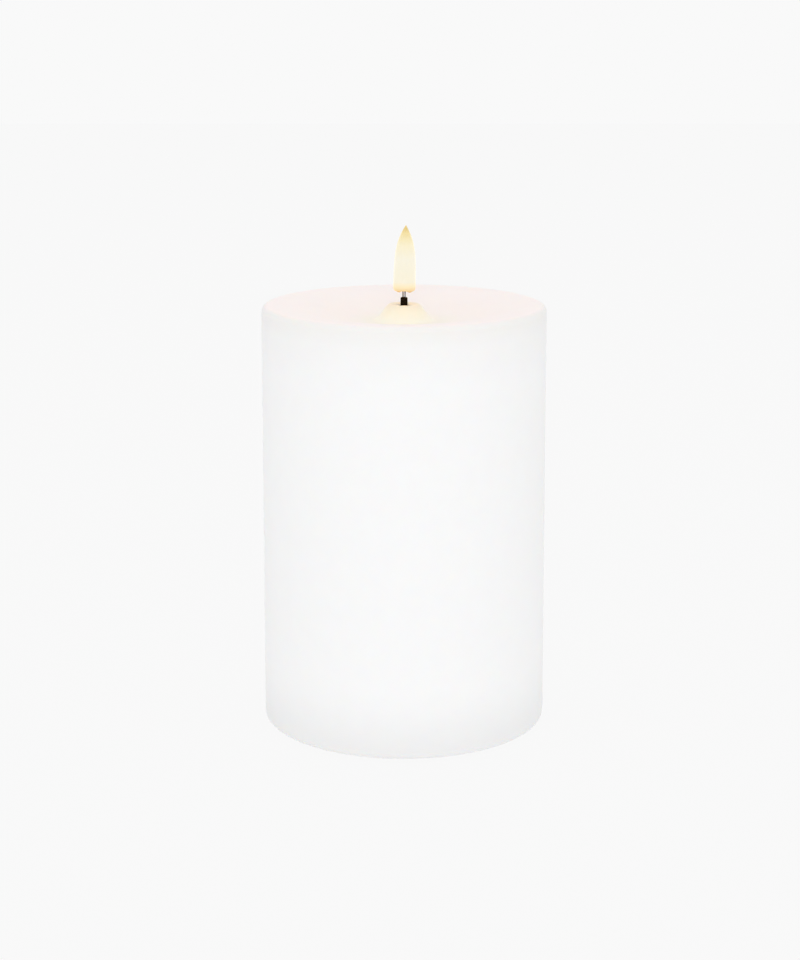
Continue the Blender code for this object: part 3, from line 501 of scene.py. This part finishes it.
def melted(point, radius):
    """The uneven surface of poured wax: a faintly uneven side, a rim that dips a little here and
    there, and long low waves in the bowl."""
    if point.z < RIM_Z - 12:
        wave = noise.noise(Vector((point.x, point.y, point.z * 0.6)) / 38.0)
        inward = SIDE_WAVE * (1 + wave) if radius > CAVITY_RADIUS + 1 else 0.0
        return Vector((point.x, point.y, 0)) * (1 - inward / max(radius, 1.0)) + Vector((0, 0, point.z))
    along = Vector((point.x, point.y, 3.0))
    dip = RIM_DIP * (noise.noise(along / 21.0) + 1)
    waves = 0.7 * noise.noise(along / 15.0) + 0.3 * noise.noise(along / 6.0)
    calm = min(1.0, max(0.0, (radius - 3.0) / 5.0))
    bowl = min(1.0, max(0.0, (RIM_CREST - 3 - radius) / 6.0))
    return point - Vector((0, 0, dip * (1 - bowl) + bowl * calm * BOWL_WAVE * waves))


def make_wax(material):
    """The wax, in one profile: up the side, over the rim, down the bowl, over the collar, down
    the wick's hole, and out under the roof."""
    foot = (WAX_RADIUS - FOOT_ROUND, WAX_BOTTOM_Z + FOOT_ROUND)
    profile = [(CAVITY_RADIUS, WAX_BOTTOM_Z + 0.6), (CAVITY_RADIUS + 0.6, WAX_BOTTOM_Z)]
    profile += arc(foot, FOOT_ROUND, -90, 0, 12)
    side_low, side_high = foot[1], RIM_Z - RIM_ROUND
    side_steps, bowl_steps, collar_steps = 48, 52, 48
    for i in range(1, side_steps):
        profile.append((WAX_RADIUS, side_low + (side_high - side_low) * i / side_steps))
    profile += arc((RIM_CREST, side_high), RIM_ROUND, 0, 90, 14)
    for outer, inner, steps in (
        (RIM_CREST, BOWL_FLOOR_RADIUS, bowl_steps),
        (BOWL_FLOOR_RADIUS, WICK_HOLE, collar_steps),
    ):
        for i in range(1, steps + 1):
            radius = outer + (inner - outer) * i / steps
            profile.append((radius, RIM_Z - bowl_fall(radius)))
    profile += [(WICK_HOLE, ROOF_Z)]
    profile += [(CAVITY_RADIUS - 2, ROOF_Z), (CAVITY_RADIUS - 0.6, ROOF_Z - 0.6), (CAVITY_RADIUS, ROOF_Z - 2)]
    obj = turned("wax_pillar", profile, steps=224, sharp=60, shift=melted)
    return stands_for(obj, "wax_shell", CANDLE, material)


def wax_material():
    """White wax: satin on the outside and glossier where it melted. Its colour holds painted light and
    shade: a painted shadow at the wick, a painted warm glow on the collar and over the bowl, and
    painted shade on the side towards the foot and under the rim."""
    made = Shader(
        "wax", roughness=0.42, IOR=1.44,
        Subsurface_Weight=0.3, Subsurface_Scale=0.003, Subsurface_Radius=(1.0, 0.75, 0.55),
    )
    height = made.node("ShaderNodeSeparateXYZ", {"Vector": made.place}).outputs["Z"]
    flat = made.node("ShaderNodeVectorMath", {0: made.place, 1: (1, 1, 0)}, operation="MULTIPLY")
    radius = made.node("ShaderNodeVectorMath", {0: flat.outputs[0]}, operation="LENGTH").outputs["Value"]
    share = made.maths("DIVIDE", radius, WAX_RADIUS * MM)
    top = made.maths(
        "MULTIPLY", made.smooth(share, 0.995, 0.955),
        made.smooth(height, (RIM_Z - 9) * MM, (RIM_Z - 8) * MM),
    )
    # Painted light and shade on the top by radius: a painted shadow round the wick, a painted warm glow on
    # the collar, faint painted shade in the valley round it, and a painted warm tint over the bowl.
    painted_top_light_and_shade = made.ramp(share, [
        (0.0, WICK_SHADOW_WAX), (0.10, WICK_SHADOW_WAX), (0.20, COLLAR_FLAME_LIT_WAX), (0.42, near(BOWL_FLAME_LIT_WAX, -0.008)),
        (0.80, BOWL_FLAME_LIT_WAX), (1.0, BOWL_FLAME_LIT_WAX),
    ], "EASE")
    cloudy = made.ranged(made.noise(7, detail=4), 0, 1)
    pale = made.mix(cloudy, near(WHITE_WAX, -0.006), near(WHITE_WAX, 0.004))
    # Painted shade on the side: darker towards the foot and under the rim.
    shade = made.ramp(made.maths("DIVIDE", height, RIM_Z * MM), PAINTED_SIDE_SHADE)
    made.to("Base Color", made.mix(top, made.mix(1.0, pale, shade, "MULTIPLY"), painted_top_light_and_shade))
    # A painted glow: emission that stands in for the flame's warm light on the collar round the wick and over
    # the bowl.
    glow = made.ramp(share, [
        (0.0, (0.02, 0.01, 0.0)), (0.10, (0.02, 0.016, 0.002)), (0.15, (0.080, 0.080, 0.024)),
        (0.185, (0.085, 0.078, 0.030)), (0.24, (0.034, 0.016, 0.006)), (0.45, (0.060, 0.018, 0.0)),
        (0.80, (0.056, 0.014, 0.008)), (1.0, (0.052, 0.012, 0.008)),
    ], "EASE")
    made.to("Emission Color", made.mix(top, (0, 0, 0), glow))
    made.bsdf.inputs["Emission Strength"].default_value = 1.0
    satin = made.ranged(made.noise(11, detail=3), 0.40, 0.52)
    gloss = made.ranged(made.noise(6, detail=3), 0.30, 0.38)
    made.to("Roughness", made.blend_values(top, satin, gloss))
    made.bump(made.noise(24, detail=2), 0.08)
    made.bump(made.noise(0.6, detail=3), 0.0015)
    return made.material


# --- flame and wick ---

# As in the CAD model, apart from the taper, which is a little slimmer near the tip, and the
# notch, which only this flame has.
FLAME_RADIUS = 3.95
FLAME_FOOT_RADIUS = 2.8
FLAME_FOOT_HEIGHT = 1.6
FLAME_HEIGHT = 23.9
FLAME_FOOT_EDGE = 0.22
FLAME_LEAN_DEG = 1.5
FLAME_TAPER = (4.3, 1.12)
FLAME_BOTTOM_Z = RIM_Z + 4.3
POCKET_RADIUS = 1.85
POCKET_HEIGHT = 6.2
NOTCH_HEIGHT = 0.55
NOTCH_HALF_WIDTH = 1.7


def lean(obj):
    """Leans a piece a little towards +X about the wick's tip, as the CAD flame does."""
    pivot = Matrix.Translation((0, 0, WICK_HIGH.z * MM))
    turn = Matrix.Rotation(math.radians(FLAME_LEAN_DEG), 4, "Y")
    obj.data.transform(pivot @ turn @ pivot.inverted())


def flame_radius(height):
    """Nearly a cylinder low down, drawn in to a point at the tip and a little at the foot."""
    onset, sharpness = FLAME_TAPER
    radius = FLAME_RADIUS * (1 - (height / FLAME_HEIGHT) ** onset) ** sharpness
    under = max(0.0, 1 - height / FLAME_FOOT_HEIGHT)
    return radius - (FLAME_RADIUS - FLAME_FOOT_RADIUS) * under**3


def notched(point, radius):
    """The flame's foot is arched over the lamp's legs, front and back."""
    height = point.z - FLAME_BOTTOM_Z
    arch = NOTCH_HEIGHT * max(0.0, 1 - (point.x / NOTCH_HALF_WIDTH) ** 2)
    lift = arch * max(0.0, 1 - height / FLAME_FOOT_HEIGHT) if radius > POCKET_RADIUS else 0.0
    return point + Vector((0, 0, lift))


def make_flame(material):
    """The flame from its tip down, then up into the pocket that takes the lamp."""
    steps = 72
    profile = [(0, FLAME_BOTTOM_Z + FLAME_HEIGHT)]
    for i in range(1, steps):
        height = FLAME_HEIGHT * (1 - (i / steps) ** 1.5)
        if height > 0.15:
            profile.append((flame_radius(height), FLAME_BOTTOM_Z + height))
    corner = (FLAME_FOOT_RADIUS - 0.25, FLAME_BOTTOM_Z + FLAME_FOOT_EDGE)
    profile += arc(corner, FLAME_FOOT_EDGE, 0, -90, 4)
    profile += [(POCKET_RADIUS + 0.15, FLAME_BOTTOM_Z), (POCKET_RADIUS, FLAME_BOTTOM_Z + 0.6)]
    top = FLAME_BOTTOM_Z + POCKET_HEIGHT
    profile += [(POCKET_RADIUS, top - 1.8), (POCKET_RADIUS * 0.72, top - 0.7), (0, top)]
    obj = turned("flame_body", profile, steps=72, sharp=60, shift=notched)
    lean(obj)
    return stands_for(obj, "flame_lens", CANDLE, material)


def flame_material():
    """Milky plastic that glows: amber at the foot, cream in the middle, yellow at the tip."""
    made = Shader(
        "flame", roughness=0.38,
        Subsurface_Weight=0.5, Subsurface_Scale=0.003, Subsurface_Radius=(1.0, 0.8, 0.4),
        IOR=1.35,
    )
    separate = made.node("ShaderNodeSeparateXYZ", {"Vector": made.place})
    height = made.node("ShaderNodeMapRange", {
        "Value": separate.outputs["Z"],
        "From Min": FLAME_BOTTOM_Z * MM, "From Max": (FLAME_BOTTOM_Z + FLAME_HEIGHT) * MM,
    }).outputs["Result"]
    made.to("Base Color", made.ramp(height, [
        (0.0, (0.42, 0.26, 0.10)), (0.06, (0.36, 0.30, 0.20)), (0.5, (0.36, 0.33, 0.27)),
        (0.8, (0.36, 0.30, 0.16)), (1.0, (0.34, 0.26, 0.11)),
    ]))
    made.to("Emission Color", made.ramp(height, [
        (0.0, (0.20, 0.12, 0.05)), (0.03, (0.54, 0.40, 0.19)), (0.09, (0.64, 0.56, 0.36)),
        (0.16, (0.60, 0.60, 0.51)), (0.5, (0.59, 0.58, 0.49)), (0.7, (0.60, 0.57, 0.44)),
        (0.80, (0.57, 0.52, 0.34)), (0.88, (0.54, 0.46, 0.23)), (0.95, (0.42, 0.32, 0.11)),
        (1.0, (0.34, 0.24, 0.10)),
    ]))
    made.bsdf.inputs["Emission Strength"].default_value = 1.0
    made.to("Roughness", made.ranged(made.noise(2.5, detail=3), 0.30, 0.46))
    made.bump(made.noise(3.0, detail=2, stretch=(1, 1, 0.4)), 0.05)
    return made.material


def make_wick(material):
    """The sleeve, with a softly crushed rim where it was cut."""
    low, high = WICK_LOW.z, WICK_HIGH.z
    steps, rim_round, strand_depth = 60, 0.40, 0.035
    outer = [(WICK_RADIUS - 0.03, low + (high - 0.45 - low) * i / steps) for i in range(steps + 1)]
    rim = arc((WICK_RADIUS - rim_round, high - rim_round), rim_round - 0.03, 10, 90, 5)
    inner = [(WICK_BORE, high - 0.12), (WICK_BORE, low)]

    def strands(point, radius):
        """Sinks the outside between the strands that cross there."""
        angle = math.atan2(point.y, point.x)
        climb = 2 * math.pi * point.z / WEAVE_PITCH
        weave = max(math.sin(WEAVE_STRANDS * angle + climb), math.sin(WEAVE_STRANDS * angle - climb))
        if radius < WICK_BORE + 0.1:
            return point
        push = strand_depth * (weave - 1)
        return Vector((point.x, point.y, 0)) * (1 + push / radius) + Vector((0, 0, point.z + 0.3 * push))

    obj = turned("wick_weave", outer + rim + inner, steps=48, sharp=60, shift=strands)
    return stands_for(obj, "wick_sleeve", CANDLE, material)


# --- small turned pieces ---


def make_feet(material):
    """Rubber buttons with a hollow middle and one groove in the face they stand on."""
    edge = 0.45
    for i in range(1, 5):
        low, high = span(f"foot_{i}")
        radius = (high.x - low.x) / 2
        profile = [(0, 0.05), (1.1, 0.05), (1.3, 0.0), (1.9, 0.0), (2.05, 0.12), (2.35, 0.12), (2.5, 0.0)]
        profile += arc((radius - edge, edge), edge, -90, 0, 6)
        profile += [(radius, high.z - 0.1), (radius - 0.1, high.z), (0, high.z)]
        foot = turned(f"rubber_foot_{i}", profile, steps=64, centre=axis(f"foot_{i}"), sharp=50)
        stands_for(foot, f"foot_{i}", CANDLE, material)


SCREW_HEAD = 1.3  # height of the head
SCREW_CROWN = 0.75  # and of its rounded part
SCREW_POINT = 1.6  # length without thread at the tip
THREAD_STEP = 0.275
THREAD_DEPTH = 0.22
RECESS_DEPTH = 0.85
SCREW_SHARP_DEG = 38


def cross_outline(centre, arm, half):
    """A cross whose four arms are half * 2 wide at their ends and a little wider at their roots."""
    points = []
    for quarter in range(4):
        turn = Matrix.Rotation(quarter * math.pi / 2, 2)
        for x, y in ((arm, -half), (arm, half), (half * 1.5, half * 1.5)):
            points.append(tuple(Vector(centre) + turn @ Vector((x, y))))
    return points


def make_screw(node, shank, head_radius, up, body, material):
    """A pan-head screw with a cross recess and a turned thread. up is the way the shank points."""
    low, high = span(node)
    centre = axis(node)
    way = 1 if up else -1
    head, tip = (low.z, high.z) if up else (high.z, low.z)
    seat = head + way * SCREW_HEAD
    profile = [(0, head)]
    for i in range(1, 9):
        angle = math.radians(90 * i / 8)
        drop = SCREW_CROWN * (1 - math.cos(angle))
        profile.append((head_radius * math.sin(angle) ** 0.8, head + way * drop))
    profile += [(head_radius, seat - way * 0.1), (head_radius - 0.1, seat)]
    length = abs(tip - seat) - SCREW_POINT
    count = int(length / THREAD_STEP)
    for i in range(count):
        radius = shank if i % 2 else shank - THREAD_DEPTH
        profile.append((radius, seat + way * (0.2 + length * i / count)))
    profile += [(shank * 0.35, tip), (0, tip)]
    screw = turned(f"fine_{node}", profile, steps=40, centre=centre, sharp=SCREW_SHARP_DEG)
    outline = cross_outline(centre, head_radius * 0.56, head_radius * 0.12)
    below, above = sorted((head - way * 1.0, head + way * RECESS_DEPTH))
    cut(screw, prism("recess", outline, below, above))
    screw.data.shade_smooth()
    screw.data.set_sharp_from_angle(angle=math.radians(SCREW_SHARP_DEG))
    return stands_for(screw, node, body, material)


def make_screws(material):
    for i in range(1, 5):
        make_screw(f"base_screw_{i}", 1.25, 2.75, True, CANDLE, material)
        make_screw(f"case_screw_{i}", 1.05, 2.5, False, CANDLE, material)
    for i in (1, 2):
        make_screw(f"board_screw_{i}", 0.95, 2.3, False, CANDLE, material)


# Both cells, from the flat end: up to the body's end, up to the nub's, the nub's radius, and that
# of the seal inside the jacket's edge.
CELL_BODY = 60.0
CELL_TOP = 61.5
CELL_NUB_RADIUS = 4.75
CELL_SEAL_RADIUS = 14.4


def cell_outline(radius):
    """Half the section of a cell, as (r, z) from its flat end up to its nub."""
    body, top, nub, seal = CELL_BODY, CELL_TOP, CELL_NUB_RADIUS, CELL_SEAL_RADIUS
    flat_end = [(0, 0.45), (10.2, 0.45), (10.6, 0.3), (11.0, 0.05), (12.9, 0.05), (13.3, 0.3), (seal, 0.3)]
    low_edge = [(radius - 1.0, 0.0), (radius - 0.35, 0.12), (radius, 0.7)]
    high_edge = [(radius, body - 0.7), (radius - 0.35, body - 0.12), (radius - 1.0, body)]
    cover = [(seal, body - 0.15), (seal - 0.6, body - 0.8), (nub + 1.2, body - 0.85)]
    cap = [(nub + 0.3, body - 0.7), (nub, body - 0.4), (nub, top - 0.6)]
    cap += [(nub - 0.15, top - 0.2), (nub - 0.6, top), (0, top)]
    return flat_end + low_edge + high_edge + cover + cap


def make_cells(material):
    """Both cells with a crimped end, a jacket that wraps over it and a domed positive cap."""
    for node, way in (("battery_1", 1), ("battery_2", -1)):
        low, high = span(node)
        foot = low.z if way == 1 else high.z
        profile = [(r, foot + way * z) for r, z in cell_outline((high.x - low.x) / 2)]
        cell = turned(f"cell_{node[-1]}", profile, steps=96, centre=axis(node), sharp=30)
        stands_for(cell, node, CANDLE, material)


# Both springs: turns, wire radius, and the narrow end's radius as a share of the wide one's.
SPRING_TURNS = 2.75
SPRING_WIRE = 0.4
SPRING_TAPER = 0.6


def make_spring(name, node, body, wide_low, material):
    """A conical spring of round wire that fills its CAD node's box, wide at its seat."""
    low, high = span(node)
    centre = middle(node)
    wide = (high.x - low.x) / 2 - SPRING_WIRE
    narrow = wide * SPRING_TAPER
    ends = (low.z + SPRING_WIRE, high.z - SPRING_WIRE)
    z0, z1 = ends if wide_low else reversed(ends)
    route = []
    count = int(SPRING_TURNS * 30)
    for i in range(count + 1):
        share = i / count
        angle = 2 * math.pi * SPRING_TURNS * share
        radius = wide + (narrow - wide) * share
        x, y = centre.x + radius * math.cos(angle), centre.y + radius * math.sin(angle)
        route.append((x, y, z0 + (z1 - z0) * share))
    spring = tube(name, route, SPRING_WIRE)
    return stands_for(spring, node, body, material)


# --- raised marks on the underside ---


MARK_RISE = 0.18  # how far they stand off the plate
MARK_SINK = 0.05  # and reach into it
MARK_SPACING = 6.0
MARK_OFFSET = 8.2  # from the switch, in Y
HAND_WIDTH = 0.3
ARROW_OFFSET = 12.5  # from the door's latch edge, in Y


def bar_outline(x0, y0, x1, y1, width):
    """A straight bar between two points."""
    start, end = Vector((x0, y0)), Vector((x1, y1))
    side = (end - start).normalized().orthogonal() * width / 2
    return [tuple(p) for p in (start - side, end - side, end + side, start + side)]


def ring_profile(outer, inner, z0, z1):
    return [(inner, z0), (outer, z0), (outer, z1), (inner, z1)]


def make_marks(material):
    """ON, OFF and TIMER by the switch as a bar, a ring and a clock, and an arrow on the door."""
    low, high = BASE_BOTTOM_Z - MARK_RISE, BASE_BOTTOM_Z + MARK_SINK
    y = middle("switch_housing").y + MARK_OFFSET
    on_x, timer_x = -MARK_SPACING, MARK_SPACING
    bar = bar_outline(on_x, y - 1.3, on_x, y + 1.3, 0.5)
    upright = bar_outline(timer_x, y - HAND_WIDTH / 2, timer_x, y + 0.9, HAND_WIDTH)
    level = bar_outline(timer_x + HAND_WIDTH / 2, y, timer_x + 0.75, y, HAND_WIDTH)
    off_ring, timer_ring = ring_profile(1.35, 0.9, low, high), ring_profile(1.5, 1.15, low, high)
    marks = [
        prism("mark_on", bar, low, high),
        turned("mark_off", off_ring, steps=48, centre=(0, y)),
        turned("mark_timer", timer_ring, steps=48, centre=(timer_x, y)),
        prism("mark_timer_hand_1", upright, low, high),
        prism("mark_timer_hand_2", level, low, high),
    ]
    for mark in marks:
        added(mark, CANDLE, material)
    y = span("battery_door")[0].y + ARROW_OFFSET
    arrow = prism("mark_door_arrow", [(-3.2, y), (3.2, y), (0, y + 4.2)], low, high)
    added(arrow, DOOR, material)


# --- carried-over CAD nodes ---


def dress(node, material, edge=0.0):
    """Gives a CAD node its material, and rounds its edges by that many millimetres."""
    obj = NODES[node]
    coat(obj, material)
    if edge:
        round_edges(obj, edge)


def dress_nodes(looks):
    dress("base_plate", looks["white_plastic"], 0.18)
    dress("battery_door", looks["white_plastic"], 0.18)
    dress("core_liner", looks["white_plastic"])
    dress("battery_case", looks["case_plastic"])
    dress("wick_holder", looks["white_plastic"], 0.15)
    dress("switch_knob", looks["black_plastic"], 0.10)
    dress("switch_housing", looks["steel"], 0.12)
    dress("hinge_pin", looks["steel"], 0.12)
    dress("crystal", looks["steel"], 0.2)
    dress("flame_led", looks["led"])
    dress("control_board", looks["board"])
    for node in ("controller_chip", "ir_receiver", "resistor_1", "resistor_2"):
        dress(node, looks["black_plastic"], 0.08)
    for node in ("splice_sleeve_1", "splice_sleeve_2", "capacitor"):
        dress(node, looks["sleeve"])
    for node in ("lamp_header", "lamp_plug"):
        dress(node, looks["white_plastic"], 0.1)
    for node in ("positive_contact", "negative_contact", "bridge_contact"):
        dress(node, looks["nickel"])
    for node in ("led_lead_1", "led_lead_2"):
        dress(node, looks["tinned"])
    for node in ("wire_battery_positive", "wire_lamp_positive"):
        dress(node, looks["red_wire"])
    for node in ("wire_battery_negative", "wire_lamp_negative"):
        dress(node, looks["black_wire"])


# --- studio ---

PAPER = 0.947  # the near-white of the floor and of the room at eye level, in linear light
CEILING = 0.80  # the room overhead
HORIZON = (0.15, 0.5)  # how far up the room goes from one to the other, as the ray's Z
FLOOR_HALF = 3.0  # in metres, as are all sizes in this section
FLOOR_PAINT = 0.93
FLOOR_SHADE = 0.05  # the share of the floor's look that takes light and shadow


def make_floor():
    """A pale floor that fades into the background, and is seen through from below."""
    half = FLOOR_HALF
    mesh = bpy.data.meshes.new("floor")
    corners = [(-half, -half, 0), (half, -half, 0), (half, half, 0), (-half, half, 0)]
    mesh.from_pydata(corners, [], [(0, 1, 2, 3)])
    floor = link("floor", mesh)
    material = bpy.data.materials.new("floor")
    material.use_nodes = True
    tree = material.node_tree
    tree.nodes.clear()
    output = tree.nodes.new("ShaderNodeOutputMaterial")
    paper = tree.nodes.new("ShaderNodeEmission")
    paper.inputs["Color"].default_value = (PAPER, PAPER, PAPER, 1)
    shade = tree.nodes.new("ShaderNodeBsdfDiffuse")
    shade.inputs["Color"].default_value = (FLOOR_PAINT, FLOOR_PAINT, FLOOR_PAINT, 1)
    blend = tree.nodes.new("ShaderNodeMixShader")
    blend.inputs["Fac"].default_value = FLOOR_SHADE
    under = tree.nodes.new("ShaderNodeMixShader")
    clear = tree.nodes.new("ShaderNodeBsdfTransparent")
    side = tree.nodes.new("ShaderNodeNewGeometry")
    tree.links.new(paper.outputs[0], blend.inputs[1])
    tree.links.new(shade.outputs[0], blend.inputs[2])
    tree.links.new(side.outputs["Backfacing"], under.inputs["Fac"])
    tree.links.new(blend.outputs[0], under.inputs[1])
    tree.links.new(clear.outputs[0], under.inputs[2])
    tree.links.new(under.outputs[0], output.inputs["Surface"])
    mesh.materials.append(material)


def make_world():
    """Soft light from all round: as pale as the floor at eye level, and dimmer overhead."""
    world = bpy.data.worlds.new("studio")
    world.use_nodes = True
    tree = world.node_tree
    direction = tree.nodes.new("ShaderNodeTexCoord")
    separate = tree.nodes.new("ShaderNodeSeparateXYZ")
    fade = tree.nodes.new("ShaderNodeMapRange")
    fade.interpolation_type = "SMOOTHSTEP"
    for socket, value in (
        ("From Min", HORIZON[0]), ("From Max", HORIZON[1]), ("To Min", PAPER), ("To Max", CEILING),
    ):
        fade.inputs[socket].default_value = value
    tree.links.new(direction.outputs["Generated"], separate.inputs["Vector"])
    tree.links.new(separate.outputs["Z"], fade.inputs["Value"])
    tree.links.new(fade.outputs["Result"], tree.nodes["Background"].inputs["Color"])
    bpy.context.scene.world = world


LIGHT_TARGET = (0, 0, 0.08)
LIGHTS = (  # name, place, size and power in watts
    ("front", (0, -2.0, 0.6), 1.0, 6.0),
    ("overhead", (0, 0, 1.8), 1.2, 3.8),
)


def make_light(name, place, size, watts):
    """A square white lamp that points at the candle, and shows neither itself nor a reflection."""
    data = bpy.data.lights.new(name, "AREA")
    data.shape = "SQUARE"
    data.size = size
    data.energy = watts
    light = bpy.data.objects.new(name, data)
    light.location = place
    way = Vector(LIGHT_TARGET) - Vector(place)
    light.rotation_euler = way.to_track_quat("-Z", "Y").to_euler()
    light.visible_camera = False
    light.visible_glossy = False
    bpy.context.scene.collection.objects.link(light)


CAMERA_DISTANCE = 0.768
CAMERA_HEIGHT = 0.271
CAMERA_PITCH_DEG = 9.65
CAMERA_LENS = 82.2
CAMERA_SHIFT = (-0.0042, -0.15)


def make_camera():
    """The photo's viewpoint: in front, a little above the rim, and looking slightly down."""
    data = bpy.data.cameras.new("camera")
    data.lens = CAMERA_LENS
    data.sensor_width = 36.0
    data.shift_x, data.shift_y = CAMERA_SHIFT
    data.clip_start = 0.01
    data.clip_end = 50.0
    camera = bpy.data.objects.new("camera", data)
    camera.location = (0.0, -CAMERA_DISTANCE, CAMERA_HEIGHT)
    camera.rotation_euler = (math.radians(90 - CAMERA_PITCH_DEG), 0, 0)
    bpy.context.scene.collection.objects.link(camera)
    bpy.context.scene.camera = camera


def make_studio():
    bpy.context.scene.view_settings.view_transform = "Standard"
    make_floor()
    make_world()
    for light in LIGHTS:
        make_light(*light)
    make_camera()


def make_looks():
    return {
        "wax": wax_material(),
        "flame": flame_material(),
        "wick": wick_material(),
        "white_plastic": moulded("white_plastic", (0.83, 0.83, 0.81), 0.5),
        "case_plastic": moulded("case_plastic", (0.80, 0.80, 0.77), 0.38, depth=0.006),
        "black_plastic": moulded("black_plastic", (0.030, 0.030, 0.031), 0.5),
        "sleeve": moulded("sleeve", (0.022, 0.022, 0.024), 0.42, grain=0.6),
        "rubber": rubber_material(),
        "steel": plated("screw_steel", (0.60, 0.60, 0.58), 0.32),
        "nickel": plated("contact_nickel", (0.70, 0.68, 0.63), 0.26, streak=(14, 1, 1), size=1.0),
        "tinned": plated("tinned_lead", (0.15, 0.115, 0.10), 0.45, size=0.4),
        "cell": cell_material(),
        "board": board_material(),
        "red_wire": insulation("red_insulation", (0.52, 0.02, 0.015)),
        "black_wire": insulation("black_insulation", (0.020, 0.020, 0.021)),
        "led": led_material(),
    }


def main():
    make_studio()
    looks = make_looks()
    make_wax(looks["wax"])
    make_flame(looks["flame"])
    make_wick(looks["wick"])
    make_feet(looks["rubber"])
    make_screws(looks["steel"])
    make_cells(looks["cell"])
    make_spring("case_spring_wire", "case_spring", CANDLE, False, looks["nickel"])
    make_spring("door_spring_wire", "door_spring", DOOR, True, looks["nickel"])
    make_marks(looks["white_plastic"])
    dress_nodes(looks)


main()
bpy.context.view_layer.update()
